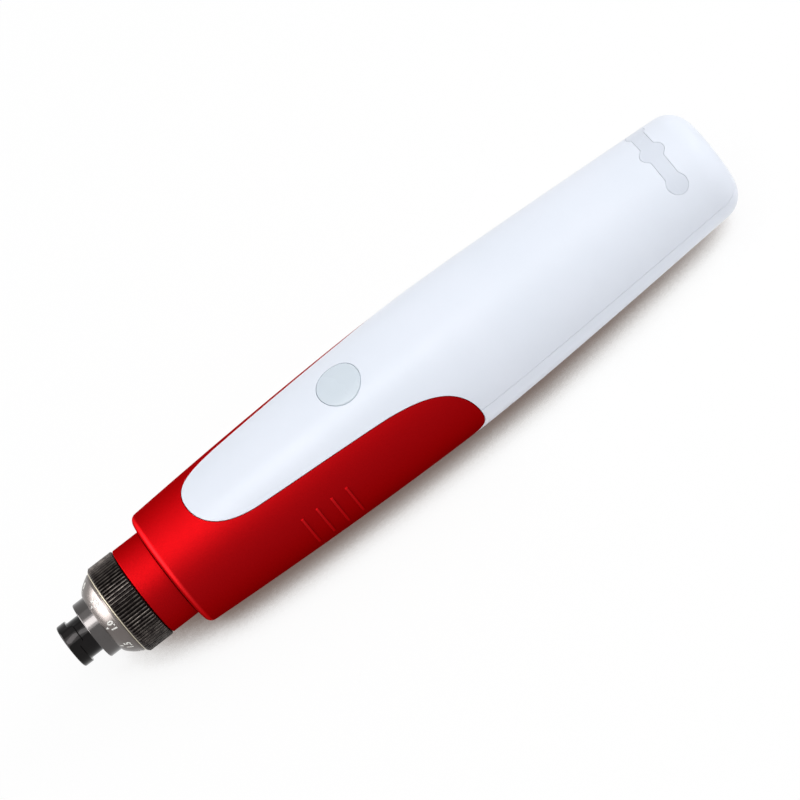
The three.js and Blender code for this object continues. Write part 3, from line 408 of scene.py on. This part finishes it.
quarter_turn = math.pi / 2
right_half = columns(0, quarter_turn, 76)
top_shell = half_shell("top_shell", [-a for a in right_half[:0:-1]] + right_half, parting / 2)
lower_half = columns(quarter_turn, math.pi, 76)
mirrored_half = [2 * math.pi - a for a in lower_half[::-1]]
bottom_shell = half_shell("bottom_shell", lower_half[:-1] + mirrored_half, -parting / 2)
for along, across in screw_places:
    boss = post(along, across, boss_radius, parting / 2, wall_middle(1))
    if along < button_at:
        # the bosses beside the button leave room for its flange, pressed down
        pressed = button_flange_bottom - button_travel
        combine(boss, post(button_at, 0, button_flange + fit_gap, pressed - fit_gap, clear))
    combine(top_shell, boss, "UNION")
    combine(top_shell, post(along, across, pilot_radius, -1, screw_tip + fit_gap, 24))
    combine(bottom_shell, post(along, across, boss_radius, wall_middle(-1), -parting / 2), "UNION")
    combine(bottom_shell, post(along, across, pilot_radius, -clear, 1, 24))
    combine(bottom_shell, post(along, across, head_hole, -clear, screw_seat))
combine(top_shell, post(button_at, 0, button_radius + button_gap, 9, clear, 128))
combine(top_shell, window_prism(window_gap))
combine(bottom_shell, woven("belly_cut", [
    [(x, -clear, z), (x, clear, z)]
    for x, z in ((cut_front, cut_bottom), (cut_rear, cut_bottom), (cut_rear, -belly), (cut_front, -belly))
], around=False))


def finish(name, constants, varying):
    """A material: constants go on the shader's own sockets, and varying gives the rest as fields."""
    material = bpy.data.materials.new(name)
    material.use_nodes = True
    shader = material.node_tree.nodes["Principled BSDF"]
    for socket, value in constants.items():
        shader.inputs[socket].default_value = value
    for socket, field in varying(Field(material.node_tree)).items():
        material.node_tree.links.new(field.socket, shader.inputs[socket])
    return material


def noise(start, scale, detail=2.0, stretch=(1, 1, 1)):
    """Fractal noise in the piece's own space, in features per metre."""
    place = start.make("TexCoord", output="Object")
    place = start.make("Mapping", {"Vector": place, "Scale": stretch})
    return start.make("TexNoise", {"Vector": place, "Scale": scale, "Detail": detail})


def bump(start, height, distance, strength=1.0):
    return start.make("Bump", {"Height": height, "Distance": distance, "Strength": strength})


def moulded_gloss(low, high, roughness):
    """Polished moulded plastic: a faint cloud in the colour, hairlines in the gloss and a soft ripple."""
    def varying(start):
        handled = noise(start, 900, 4, (1, .08, .3)).stretch(.55, .75)
        return {
            "Base Color": noise(start, 35, 3).stretch(.3, .7).tint(low, high),
            "Roughness": noise(start, 60, 3) * .05 + handled * .015 + (roughness - .035),
            "Normal": bump(start, noise(start, 160, 1), .00002),
        }
    return varying


white_gloss = finish("white_gloss", {"IOR": 1.5, "Specular IOR Level": .12}, moulded_gloss(
    seen(229, 235, 245), seen(233, 238, 248), .3))
dress(follow_body(top_shell), "housing", white_gloss, "white_gloss", "top_shell")
dress(follow_body(bottom_shell), "housing", white_gloss, "white_gloss", "bottom_shell")

# The grip: a thin aluminium-look sleeve, satin red over a metallic base, clipped round the front
# of the housing. Its two lobes run back along the sides, and four thumb ribs stand on each.
grip_fillet, grip_lip = 1.75, .15
rib_places = [grip_front + 32.4 + 4.15 * k for k in range(4)]
rib_height, rib_half_width, rib_arc, rib_angle, rib_root = .45, .42, 10.8, math.radians(86), .5


def grip_column(angle):
    edge_here, lean = edge_at(angle)
    end = edge_here - (parting / 2 + grip_lip) * lean
    loop = [(grip_front, spigot_hole, spigot_hole)]
    loop += [station(grip_front + grip_fillet * (1 - c), grip_fillet * (1 - s)) for s, c in quarter(10)]
    loop += [station(x, 0) for x in np.linspace(grip_front + grip_fillet, end, 60)[1:-1]]
    loop += [station(end + grip_lip * s * lean, grip_lip * (1 - c)) for s, c in quarter(5)]
    loop += [station(end + grip_lip * lean, grip_wall)]
    loop += [station(x, grip_wall) for x in np.linspace(end, grip_front + grip_wall, 20)]
    loop += [(grip_front + grip_wall, spigot_hole, spigot_hole)]
    return [(x, -w * math.sin(angle), h * math.cos(angle)) for x, w, h in loop]


def rib(along, side):
    """A low round-backed bar across the side, its ends run out into the skin."""
    _, w, h = station(along, 0)
    rows = []
    for k in range(41):
        share = k / 20 - 1
        crown = max(0, 1 - abs(share) ** 8) ** .5
        angle = side * rib_angle + share * rib_arc / 2 / w
        section = [(-rib_half_width, -rib_root)]
        section += [(-rib_half_width * math.cos(q), rib_height * crown * math.sin(q) - .02)
                    for q in np.linspace(0, math.pi, 13)]
        section += [(rib_half_width, -rib_root)]
        rows.append([(along + x, -(w + z) * math.sin(angle), (h + z) * math.cos(angle)) for x, z in section])
    return woven("rib", rows, through=False)


top_columns, low_columns = columns(0, lobe_angle, 78), columns(lobe_angle, math.pi, 78)
right_columns = top_columns + low_columns[1:]
grip_columns = right_columns + [2 * math.pi - a for a in right_columns[-2:0:-1]]
grip = woven("grip_sleeve", [list(row) for row in zip(*map(grip_column, grip_columns))])
for along in rib_places:
    for side in (-1, 1):
        combine(grip, rib(along, side), "UNION")


def pen_along(start, low, high):
    """How far along the pen a place is, from 0 at low to 1 at high, in millimetres from the tip."""
    place = start.make("SeparateXYZ", {0: start.make("TexCoord", output="Object")})
    return place.stretch((low - half_length) / 1000, (high - half_length) / 1000)


def pen_radius(start, low, high):
    """How far out from the pen's axis a place is, from 0 at low to 1 at high, in millimetres."""
    place = start.make("VectorMath", {0: start.make("TexCoord", output="Object"), 1: (0, 0, belly / 1000)},
                       operation="SUBTRACT")
    flat = start.make("VectorMath", {0: place, 1: (0, 1000, 1000)}, operation="MULTIPLY")
    return start.make("VectorMath", {0: flat}, output="Value", operation="LENGTH").stretch(low, high)


def satin_paint(start):
    """Metal flakes under a satin clear coat, rubbed a little shinier where the hand holds it, with a
    painted highlight in a lighter red round the front corner and along the crests of the ribs."""
    flakes = noise(start, 9000, 1)
    rubbed = noise(start, 45, 3).stretch(.4, .75)
    # a painted highlight: a lighter red band along the front fillet
    corner_highlight = (pen_along(start, grip_front + .3, grip_front + .7)
              * pen_along(start, grip_front + 1.5, grip_front + 1))
    # the rib crests get a painted highlight in the same lighter red
    first, last = rib_places[0], rib_places[-1]
    skin = [float(half_width(along)) for along in (first, last)]
    above_skin = pen_radius(start, 0, 20) * 20 - pen_along(start, first, last) * (skin[1] - skin[0]) - skin[0]
    rib_highlight_span = pen_along(start, first - 1.2, first - .9) * pen_along(start, last + 1.2, last + .9)
    crest = above_skin.stretch(.12, .34) * rib_highlight_span
    return {
        # the lighter red is the painted highlight on the front fillet and on the rib crests
        "Base Color": (corner_highlight * .7 + crest * .45).tint(
            flakes.stretch(.3, .7).tint(seen(140, 6, 10), seen(154, 9, 14)), seen(196, 30, 34)),
        "Roughness": .57 - rubbed * .05 + flakes * .04,
        "Normal": bump(start, flakes, .00001),
    }


red_satin = finish("red_satin", {"Metallic": 1.0, "Specular Tint": seen(130, 30, 30)}, satin_paint)
dress(follow_body(grip, 0, grip_fillet), "housing", red_satin, "red_satin", "grip_sleeve")

# The neck: a turned sleeve in the same red. Its stub tube carries the depth ring, and its
# flange is trapped in the housing's front wall.


def rounded(corners, steps=5):
    """The outline through corners of (along, out, rounding)."""
    outline = []
    for k, (x, y, radius) in enumerate(corners):
        here = Vector((x, y))
        if not radius:
            outline.append((x, y))
            continue
        arms = [(Vector(corners[j % len(corners)][:2]) - here).normalized() for j in (k - 1, k + 1)]
        half = arms[0].angle(arms[1]) / 2
        centre = here + (arms[0] + arms[1]).normalized() * (radius / math.sin(half))
        ends = [(here + arm * (radius / math.tan(half)) - centre).normalized() for arm in arms]
        outline += [tuple(centre + radius * ends[0].slerp(ends[1], k / steps)) for k in range(steps + 1)]
    return outline


hairline = .02  # the least radius of a turned outline, so that each of its rows stays a ring


def turned(name, corners, sides=128, upright=None):
    """A lathe-turned piece about the pen's axis, or about an upright one at (along, across)."""
    turns = [2 * math.pi * k / sides for k in range(sides)]
    if upright:
        rows = [[(upright[0] + r * math.cos(a), upright[1] + r * math.sin(a), x) for a in turns]
                for x, r in rounded(corners)]
    else:
        rows = [[(x, -r * math.sin(a), r * math.cos(a)) for a in turns] for x, r in rounded(corners)]
    return even(woven(name, rows))


def even(thing, sharp_from=32):
    """Smooth shading in which the large faces stay even up to their rounded edges."""
    smooth(thing, sharp_from)
    thing.modifiers.new("even", "WEIGHTED_NORMAL").keep_sharp = True
    return thing


stub_front, stub_radius, neck_bore = 11.6, 9.03, 7.83
neck_front, neck_rear, neck_radius = 21.3, grip_front - fit_gap, 11.8
snap_front, snap_rear, snap_floor = 12.3, 13.7, 8.53
spigot_radius, flange_front, flange_rear, flange_radius = 10.8, 32.9, 34.9, 12.4
pin_slot = [(14.3, -1.1), (14.3, 1.1), (19.0, 1.1), (19.0, -1.1)]
neck = turned("neck_sleeve", [
    (stub_front, neck_bore, .15), (stub_front, stub_radius, .15), (snap_front, stub_radius, 0),
    (snap_front, snap_floor, 0), (snap_rear, snap_floor, 0), (snap_rear, stub_radius, 0),
    (neck_front, stub_radius, 0), (neck_front, neck_radius, .3), (neck_rear, neck_radius, .15),
    (neck_rear, spigot_radius, 0), (flange_front, spigot_radius, 0), (flange_front, flange_radius, .2),
    (flange_rear, flange_radius, .2), (flange_rear, neck_bore, .2),
])
combine(neck, woven("pin_slot", [[(x, y, z) for x, y in pin_slot] for z in (-10, 0)], through=False))
dress(even(neck), "housing", red_satin, "red_satin", "neck_sleeve")

# The depth ring: turned steel with 84 straight teeth pressed round it, blackened. A helical
# groove in its bore drives the barrel's pin; it is turned to set how deep the needles go.
ring_front, ring_rear, ring_radius, ring_bore = 13.7, 21.0, 12.0, 9.33
seal_seat, seal_seat_radius = 19.6, 10.43
ring_length = ring_rear - ring_front
tooth_count, tooth_points, groove_depth, front_chamfer, rear_chamfer = 84, 8, .42, .7, .18
# how deep the skin lies under the crown, round one tooth, as shares of the groove's depth
tooth_depth_shares = [0, 0, .03, .55, 1, 1, .75, .2]
ring_rows = (0, .08, .16, .28, .42, .56, .7, 1.2, 2.6, 4.2, 5.8, 6.7, 7.12, 7.2, 7.25, ring_length)
set_depth, most_depth = .5, 2.5
pin_at, pin_radius, mm_per_radian = 15.9, 1.1, most_depth / math.radians(200)
helix_depth, helix_spare = 1.2, .122


def ring_column(k):
    angle = 2 * math.pi * k / (tooth_count * tooth_points)
    floor_radius = ring_radius - groove_depth * tooth_depth_shares[k % tooth_points]
    loop = []
    for x in ring_rows:
        slope = ring_radius - max(0, front_chamfer - x) - max(0, x - (ring_length - rear_chamfer))
        loop.append((ring_front + x, min(slope, floor_radius)))
    # the groove's middle passes the pin at the bottom, for the depth that is set
    low = math.pi - set_depth / mm_per_radian - helix_spare
    high = math.pi + (most_depth - set_depth) / mm_per_radian + helix_spare
    middle = pin_at + mm_per_radian * (min(max(angle, low), high) - math.pi)
    deep = ring_bore + (helix_depth if low <= angle <= high else 0)
    loop += [(ring_rear, seal_seat_radius), (seal_seat, seal_seat_radius), (seal_seat, ring_bore)]
    loop += [(middle + pin_radius, ring_bore), (middle + pin_radius, deep)]
    loop += [(middle - pin_radius, deep), (middle - pin_radius, ring_bore)]
    loop += [(ring_front, ring_bore)]
    return [(x, -r * math.sin(angle), r * math.cos(angle)) for x, r in loop]


ring = woven("depth_ring", [list(row) for row in zip(*map(ring_column, range(tooth_count * tooth_points)))])


def blackened_teeth(start):
    """Dark oxide in the grooves, rubbed through to grey steel in patches on the crowns, and pale all round
    the front edge.
    """
    crown = pen_radius(start, ring_radius - groove_depth, ring_radius)
    worn = crown * noise(start, 700, 4).stretch(.3, .75)
    # pale all round the front edge
    rim = pen_along(start, ring_front + .34, ring_front + .2)
    return {
        "Base Color": rim.tint(worn.tint(seen(27, 23, 23), seen(78, 73, 69)), seen(176, 168, 150)),
        "Roughness": .34 - worn * .1 + noise(start, 2500, 2) * .08,
        "Normal": bump(start, noise(start, 3000, 3, (.05, 1, 1)), .00003),
    }


gunmetal = finish("gunmetal", {"Metallic": 1.0}, blackened_teeth)
dress(smooth(ring, 25), "depth_ring", gunmetal, "gunmetal", "depth_ring")

# The scale dome: a bright turned cover pressed on the ring's front, toned brown-grey. The needle
# depths 0 to 2.5 stand round it in white, each with a mark before it at the front edge.
dome_front, dome_rear, dome_lip, dome_lip_radius = 9.5, 13.6, 13.0, 11.0
dome_small, dome_large, dome_bulge = 8.13, 10.9, .725
dome_floor, snap_room, snap_room_radius = 11.3, 12.3, 10.03
# the side swells out from a straight cone, most of all near its front
swollen = (dome_front + (dome_lip - dome_front) / 4, dome_small + (dome_large - dome_small) / 4 + dome_bulge)
ends = (dome_front, dome_small), (dome_lip, dome_large)
dome_side = interpolate_bezier(*(Vector((*p, 0)) for p in (
    ends[0], *([e + (s - e) * 2 / 3 for e, s in zip(end, swollen)] for end in ends), ends[1])), 25)
dome_side = [(p.x, p.y) for p in dome_side]
dome = turned("scale_dome", [(dome_front, neck_bore, 0)] + [(x, r, 0) for x, r in dome_side] + [
    (dome_lip, dome_lip_radius, .08), (dome_rear, dome_lip_radius, .12), (dome_rear, snap_room_radius, 0),
    (snap_room, snap_room_radius, 0), (snap_room, ring_bore, 0), (dome_floor, ring_bore, 0),
    (dome_floor, neck_bore, 0)], 192)


def turned_metal(low, high, roughness, lines=9000):
    """Lathe-cut metal: fine lines round the axis, with a slow change of tone along and round it."""
    def varying(start):
        cut = noise(start, lines, 2, (1, .02, .02))
        return {
            "Base Color": noise(start, 120, 3).stretch(.3, .7).tint(low, high),
            "Roughness": cut * .1 + noise(start, 300, 3) * .06 + (roughness - .08),
            "Normal": bump(start, cut, .000004),
        }
    return varying


scale_metal = finish("scale_metal", {"Metallic": 1.0}, turned_metal(
    seen(96, 90, 88), seen(112, 106, 103), .31))
dress(dome, "depth_ring", scale_metal, "scale_metal", "scale_dome")


def dome_radius(along):
    xs, rs = zip(*dome_side)
    return float(np.interp(along, xs, rs))


def on_dome(flat, angle, along, proud):
    """Wraps a flat mark round the dome: its right goes to smaller angles and its top to the nose."""
    for v in flat.vertices:
        x = along - v.co.y * along_share
        r = dome_radius(x) + proud + v.co.z
        a = angle - v.co.x / dome_radius(along)
        v.co = at(x, -r * math.sin(a), r * math.cos(a))


number_size, number_thickness, number_weight, number_spacing = 2.1, .02, .08, 1.08
number_at, number_proud, tick_at, tick_proud, along_share = 11.65, .03, 10.15, .02, .93
first_number, number_step, number_reach, number_grid = math.radians(-33), math.radians(40), 2.4, .2
tick_outline = [(-.3, -.35), (.3, -.35), (.18, 0), (.06, .35), (-.06, .35), (-.18, 0)]
tick_bottom, tick_top = -.05, .02
marks = bmesh.new()
for k, depth in enumerate(("0", "0.5", "1.0", "1.5", "2.0", "2.5")):
    angle = first_number + number_step * k
    letters = bpy.data.curves.new("depth_number", "FONT")
    letters.body, letters.size, letters.extrude = depth, number_size, number_thickness
    letters.offset, letters.space_character = number_weight, number_spacing
    letters.align_x, letters.align_y = "CENTER", "CENTER"
    holder = bpy.data.objects.new("depth_number", letters)
    flat = bpy.data.meshes.new_from_object(holder)
    # the number is cut on a fine grid, so that it bends with the dome
    form = bmesh.new()
    form.from_mesh(flat)
    for normal in ((1, 0, 0), (0, 1, 0)):
        for cut in np.arange(-number_reach, number_reach + number_grid / 2, number_grid):
            bmesh.ops.bisect_plane(form, geom=form.verts[:] + form.edges[:] + form.faces[:],
                                   plane_co=Vector(normal) * cut, plane_no=normal)
    form.to_mesh(flat)
    form.free()
    on_dome(flat, angle, number_at, number_proud)
    marks.from_mesh(flat)
    tick = bpy.data.meshes.new("depth_tick")
    tick.from_pydata(
        [(x, y, z) for z in (tick_bottom, tick_top) for x, y in tick_outline], [],
        [(0, 1, 2, 5), (5, 2, 3, 4), (6, 11, 8, 7), (11, 10, 9, 8)]
        + [(j, (j + 1) % 6, (j + 1) % 6 + 6, j + 6) for j in range(6)])
    on_dome(tick, angle, tick_at, tick_proud)
    marks.from_mesh(tick)
    bpy.data.objects.remove(holder)
mark_mesh = bpy.data.meshes.new("depth_scale_marks")
bmesh.ops.recalc_face_normals(marks, faces=marks.faces)
marks.to_mesh(mark_mesh)
marks.free()
depth_marks = bpy.data.objects.new("depth_scale_marks", mark_mesh)
bpy.context.scene.collection.objects.link(depth_marks)
mark_white = finish("mark_white", {"Metallic": 0.0}, lambda start: {
    "Base Color": noise(start, 2500, 3).stretch(.3, .6).tint(seen(214, 212, 206), seen(246, 245, 240)),
    "Roughness": noise(start, 900, 2) * .15 + .4,
})
depth_marks.data.materials.append(mark_white)
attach(depth_marks, "depth_ring")

# The bayonet barrel: black-chromed and turned. Needle cartridges push on its head and lock
# behind two lugs; its carrier slides in the neck on an O-ring, led by the pin below.
head_radius, head_length, stem_radius, nose_bore, lug_length = 5.7, 2.5, 5.0, 3.2, 1.3
lug_turns = [math.radians(16), math.radians(196)]
lug_reach, lug_run = math.radians(32), math.radians(9)
carrier_radius, carrier_bore, carrier_front, carrier_rear = 7.53, 6.03, 9.0, 20.5
seat_at, undercut, undercut_depth = 6.2, 6.0, .3
seal_front, seal_rear, seal_floor = 12.15, 13.45, 6.83


def barrel_column(angle):
    away = min(abs((angle - turn + math.pi) % (2 * math.pi) - math.pi) for turn in lug_turns)
    rise = min(1, max(0, (lug_reach - away) / lug_run))
    head_rear = head_length + lug_length * rise * rise * (3 - 2 * rise)
    outline = rounded([
        (0, nose_bore, .4), (0, head_radius, .45), (head_rear, head_radius, .16),
        (head_rear, stem_radius, .1), (seat_at + undercut_depth, stem_radius, .1),
        (seat_at + undercut_depth, undercut, .12), (seat_at, undercut, .08),
        (seat_at, carrier_radius, .3), (seal_front, carrier_radius, 0),
        (seal_front, seal_floor, 0), (seal_rear, seal_floor, 0), (seal_rear, carrier_radius, 0),
        (carrier_rear, carrier_radius, .1), (carrier_rear, carrier_bore, .1),
        (carrier_front, carrier_bore, 0), (carrier_front, nose_bore, .1),
    ])
    return [(x, -r * math.sin(angle), r * math.cos(angle)) for x, r in outline]


barrel = woven("bayonet_barrel", [list(row) for row in zip(*(
    barrel_column(2 * math.pi * k / 240) for k in range(240)))])
# the follower pin's hole goes through the carrier's wall
combine(barrel, post(pin_at, 0, pin_radius, -9, -3, 24))


def chromed(start):
    """Black chrome on the head and stem, and bare polished steel from the flange back."""
    polished = pen_along(start, seat_at - .3, seat_at)
    cut = noise(start, 7000, 2, (1, .02, .02))
    tone = noise(start, 120, 3).stretch(.3, .7)
    return {
        "Base Color": polished.tint(tone.tint(seen(12, 11, 11), seen(26, 24, 24)),
                                    tone.tint(seen(72, 69, 69), seen(86, 83, 82))),
        "Roughness": cut * .08 + .1,
        "Normal": bump(start, cut, .000004),
    }


dark_chrome = finish("dark_chrome", {"Metallic": 1.0, "Coat Weight": .15, "Coat Roughness": .05}, chromed)
dress(even(barrel), "barrel", dark_chrome, "dark_chrome", "bayonet_barrel")

# The speed button: a round cap in pale smoky plastic that follows the body's crown, a hair
# proud of it. Its flange keeps it under the top shell and its stem presses the switch.


def skin_height(inset):
    """The height of the body's top skin, drawn in by an inset, over a place."""
    def height(along, across):
        _, w, h = station(along, inset)
        return h * math.sqrt(max(0, 1 - (across / w) ** 2))
    return height


button_proud, button_round, button_stem, button_stem_length = .15, .35, 1.6, .5
crown, under_wall = skin_height(-button_proud), skin_height(wall + fit_gap)
button_rows = [(r, crown) for r in np.linspace(hairline, button_radius - button_round, 10)]
button_rows += [
    (button_radius - button_round * (1 - s), lambda x, y, drop=button_round * (1 - c): crown(x, y) - drop)
    for s, c in quarter(5)[1:]]
button_rows += [(button_radius, under_wall), (button_flange, under_wall)]
button_rows += [(r, lambda x, y: button_flange_bottom) for r in (button_flange, button_stem)]
button_rows += [(r, lambda x, y: button_flange_bottom - button_stem_length) for r in (button_stem, hairline)]
turns = [2 * math.pi * k / 128 for k in range(128)]
button = woven("speed_button", [
    [(x, y, height(x, y)) for x, y in ((button_at + r * math.cos(a), r * math.sin(a)) for a in turns)]
    for r, height in button_rows
], through=False)
pale_clear = finish("pale_clear", {"IOR": 1.5, "Specular IOR Level": .2}, moulded_gloss(
    seen(209, 219, 228), seen(214, 224, 233), .28))
dress(follow_body(button, button_proud), "button", pale_clear, "pale_clear", "speed_button")

# The light window: a milky lens let in flush across the top near the tail. The three lamps on
# the charging board shine through it.
window = window_prism(0)
band_front, band_rear, band_angle = 168, 183, 1.3
band = [(x, 0) for x in np.linspace(band_front, band_rear, 31)]
band += [(x, wall) for x in np.linspace(band_rear, band_front, 31)]
combine(window, woven("wall_band", [
    [(x, -w * math.sin(a), h * math.cos(a)) for x, w, h in (station(*place) for place in band)]
    for a in np.linspace(-band_angle, band_angle, 81)
], through=False), "INTERSECT")
milky = finish("milky_window", {"IOR": 1.46, "Specular IOR Level": .2}, moulded_gloss(
    seen(216, 222, 233), seen(221, 227, 237), .28))
dress(follow_body(window), "housing", milky, "pale_clear", "light_window")

# The charging socket: a round black jack in the tail with a nickel centre pin. Its body is
# soldered under the charging board.
socket_front, socket_floor, socket_body_rear, socket_rear = 175.9, 179.7, 185.9, 188.7
socket_radius, socket_bore, socket_body = 4.0, 2.9, 4.5
socket = turned("charge_socket", [
    (socket_front, hairline, 0), (socket_front, socket_radius, 0), (socket_rear, socket_radius, .25),
    (socket_rear, socket_bore, .3), (socket_floor, socket_bore, 0), (socket_floor, hairline, 0)], 96)
socket.modifiers.clear()
combine(socket, woven("socket_body", [
    [(x, socket_body * y, socket_body * z) for y, z in ((-1, -1), (1, -1), (1, 1), (-1, 1))]
    for x in (socket_front, socket_body_rear)
], through=False), "UNION")
bore_turns = [2 * math.pi * k / 96 for k in range(96)]
combine(socket, woven("socket_bore", [
    [(x, -socket_bore * math.sin(a), socket_bore * math.cos(a)) for a in bore_turns]
    for x in (socket_floor, cut_rear)
], through=False))
black_plastic = finish("black_plastic", {"IOR": 1.5}, lambda start: {
    "Base Color": noise(start, 200, 3).stretch(.3, .7).tint(seen(22, 22, 24), seen(38, 38, 40)),
    "Roughness": noise(start, 1500, 2) * .12 + .38,
    "Normal": bump(start, noise(start, 4000, 2), .00001),
})
dress(even(socket), "housing", black_plastic, "black_plastic", "charge_socket")
charge_pin_front, charge_pin_rear, charge_pin_radius = 180.0, 187.5, .65
pin = turned("charge_pin", [
    (charge_pin_front, hairline, 0), (charge_pin_front, charge_pin_radius, 0),
    (charge_pin_rear, charge_pin_radius, .3), (charge_pin_rear, hairline, 0)], 32)
nickel = finish("nickel", {"Metallic": 1.0}, turned_metal(seen(196, 192, 184), seen(214, 210, 202), .22))
dress(pin, "housing", nickel, "nickel", "charge_pin")

# The case screws: zinc-plated self-tapping screws with a cross recess, driven up through the
# belly's four deep holes into the bosses of the top shell.
head_top, head_height, screw_head = screw_seat - fit_gap, 1.2, 1.9
thread_radius, thread_depth, pitch, point_length, point_radius = 1.0, .22, .5, .6, .15
recess_reach, recess_half, recess_floor = 1.05, .24, .45
steel = finish("steel", {"Metallic": 1.0}, turned_metal(seen(166, 166, 168), seen(190, 190, 192), .28, 5000))


def case_screw(name, along, across):
    corners = [(head_top - head_height, hairline, 0), (head_top - head_height, screw_head, .35),
               (head_top, screw_head, .1), (head_top, thread_radius, 0)]
    height = head_top
    while height + pitch < screw_tip - point_length:
        corners += [(height + pitch * .3, thread_radius - thread_depth, 0),
                    (height + pitch, thread_radius, 0)]
        height += pitch
    corners += [(screw_tip, point_radius, 0), (screw_tip, hairline, 0)]
    screw = turned(name, corners, 32, (along, across))
    screw.modifiers.clear()
    for turn in (0, quarter_turn):
        slot = [(along + x * math.cos(turn) - y * math.sin(turn),
                 across + x * math.sin(turn) + y * math.cos(turn))
                for x, y in ((recess_reach, recess_half), (-recess_reach, recess_half),
                             (-recess_reach, -recess_half), (recess_reach, -recess_half))]
        combine(screw, woven("slot", [
            [(x, y, z) for x, y in slot] for z in (head_top - head_height - .5, head_top - recess_floor)
        ], through=False))
    return even(screw)


screw_names = [f"{side}_{end}_case_screw" for end in ("front", "rear") for side in ("left", "right")]
for place, name in zip(screw_places, screw_names):
    dress(case_screw(name, *place), "housing", steel, "steel", name)

# The needle bar: a ground steel rod whose hooked front pulls the cartridge's plunger. It shows
# through the nose bore.
bar_front, hook_rear, bar_rear, hook_radius, bar_radius = 12.0, 13.2, 40.45, 2.3, 1.5
bar = turned("needle_bar", [
    (bar_front, hairline, 0), (bar_front, hook_radius, .3), (hook_rear, hook_radius, .2),
    (hook_rear, bar_radius, 0), (bar_rear, bar_radius, .15), (bar_rear, hairline, 0)], 64)
dress(bar, "needle_drive", steel, "steel", "needle_bar")

# The return spring: a steel compression spring round the bar, with closed ends. It shortens by
# the needle's 2.5 mm as the follower comes forward.
spring_front, spring_rear, spring_radius, wire_radius, spring_turns = 30.3, 39.5, 3.4, .35, 6.5
closed_turns, closed_length = .9, 1.1
wire_rows = []
for turn in np.linspace(0, spring_turns, 235):
    middle = np.interp(
        turn, (0, closed_turns, spring_turns - closed_turns, spring_turns),
        (spring_front + wire_radius, spring_front + closed_length, spring_rear - closed_length,
         spring_rear - wire_radius))
    angle = 2 * math.pi * turn
    wire_rows.append([
        (middle + wire_radius * math.sin(q), -(spring_radius + wire_radius * math.cos(q)) * math.sin(angle),
         (spring_radius + wire_radius * math.cos(q)) * math.cos(angle))
        for q in (2 * math.pi * k / 12 for k in range(12))])
spring = smooth(woven("return_spring", wire_rows, through=False), 60)
dress(spring, "housing", steel, "steel", "return_spring")
at(spring_front, 0, 0)
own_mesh(spring)

# The drive and the motor, inside: bought-in steel, brass, copper and plastic parts that keep
# their frame shapes.


def paint(material, *nodes):
    for name in nodes:
        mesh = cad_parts[name].data
        mesh.materials.clear()
        mesh.materials.append(material)


rubber = finish("rubber", {"IOR": 1.5}, lambda start: {
    "Base Color": noise(start, 400, 3).stretch(.3, .7).tint(seen(20, 20, 21), seen(34, 33, 33)),
    "Roughness": noise(start, 1200, 3) * .15 + .6,
    "Normal": bump(start, noise(start, 5000, 2), .00002),
})
brass = finish("brass", {"Metallic": 1.0}, turned_metal(seen(196, 158, 92), seen(214, 178, 112), .3))
copper = finish("copper", {"Metallic": 1.0}, lambda start: {
    "Base Color": noise(start, 300, 2).stretch(.3, .7).tint(seen(168, 88, 56), seen(204, 118, 78)),
    "Roughness": noise(start, 2000, 2, (.1, 1, 1)) * .15 + .3,
    "Normal": bump(start, noise(start, 4000, 1, (.05, 1, 1)), .00004),
})
magnet = finish("magnet", {"Metallic": .3}, lambda start: {
    "Base Color": noise(start, 500, 4).stretch(.3, .7).tint(seen(52, 50, 50), seen(74, 72, 72)),
    "Roughness": noise(start, 1500, 3) * .15 + .5,
})
natural_plastic = finish("natural_plastic", {"IOR": 1.5}, moulded_gloss(
    seen(222, 216, 200), seen(232, 226, 212), .4))
paint(steel, "retaining_ring", "detent_ball", "detent_spring", "follower_pin", "left_motor_screw",
      "right_motor_screw", "motor_can", "motor_shaft")
paint(rubber, "ring_seal", "barrel_seal", "motor_damper")
paint(brass, "guide_bush", "front_shaft_bush", "rear_shaft_bush", "left_motor_brush", "right_motor_brush")
paint(copper, "armature", "commutator", "left_motor_terminal", "right_motor_terminal")
paint(magnet, "upper_magnet", "lower_magnet")
paint(natural_plastic, "cam_follower", "drive_cam", "motor_mount")
paint(black_plastic, "motor_end_bell")

# The cell and the boards, inside: a lithium cell in a shrink sleeve between nickel tabs, two
# green circuit boards with their switch, chip and lamps, and the leads between them.
board_green = finish("board_green", {"IOR": 1.5, "Coat Weight": .4, "Coat Roughness": .15}, lambda start: {
    "Base Color": noise(start, 900, 1, (1, .05, 1)).stretch(.5, .6).tint(seen(18, 84, 48), seen(34, 110, 66)),
    "Roughness": noise(start, 700, 2) * .1 + .35,
})
cell_wrap = finish("cell_wrap", {"IOR": 1.5}, moulded_gloss(seen(44, 92, 158), seen(54, 104, 172), .3))
lamp_yellow = finish("lamp_yellow", {"IOR": 1.5}, moulded_gloss(seen(232, 208, 120), seen(240, 220, 140), .3))
lead_red = finish("lead_red", {"IOR": 1.5}, moulded_gloss(seen(170, 24, 22), seen(186, 32, 28), .42))
paint(cell_wrap, "battery_cell")
paint(nickel, "front_cell_tab", "rear_cell_tab")
paint(black_plastic, "battery_tray", "speed_switch", "control_chip")
paint(board_green, "circuit_board", "charge_board")
paint(lamp_yellow, "middle_status_lamp", "left_status_lamp", "right_status_lamp")
paint(lead_red, "left_motor_lead", "right_motor_lead", "left_charge_lead", "right_charge_lead")
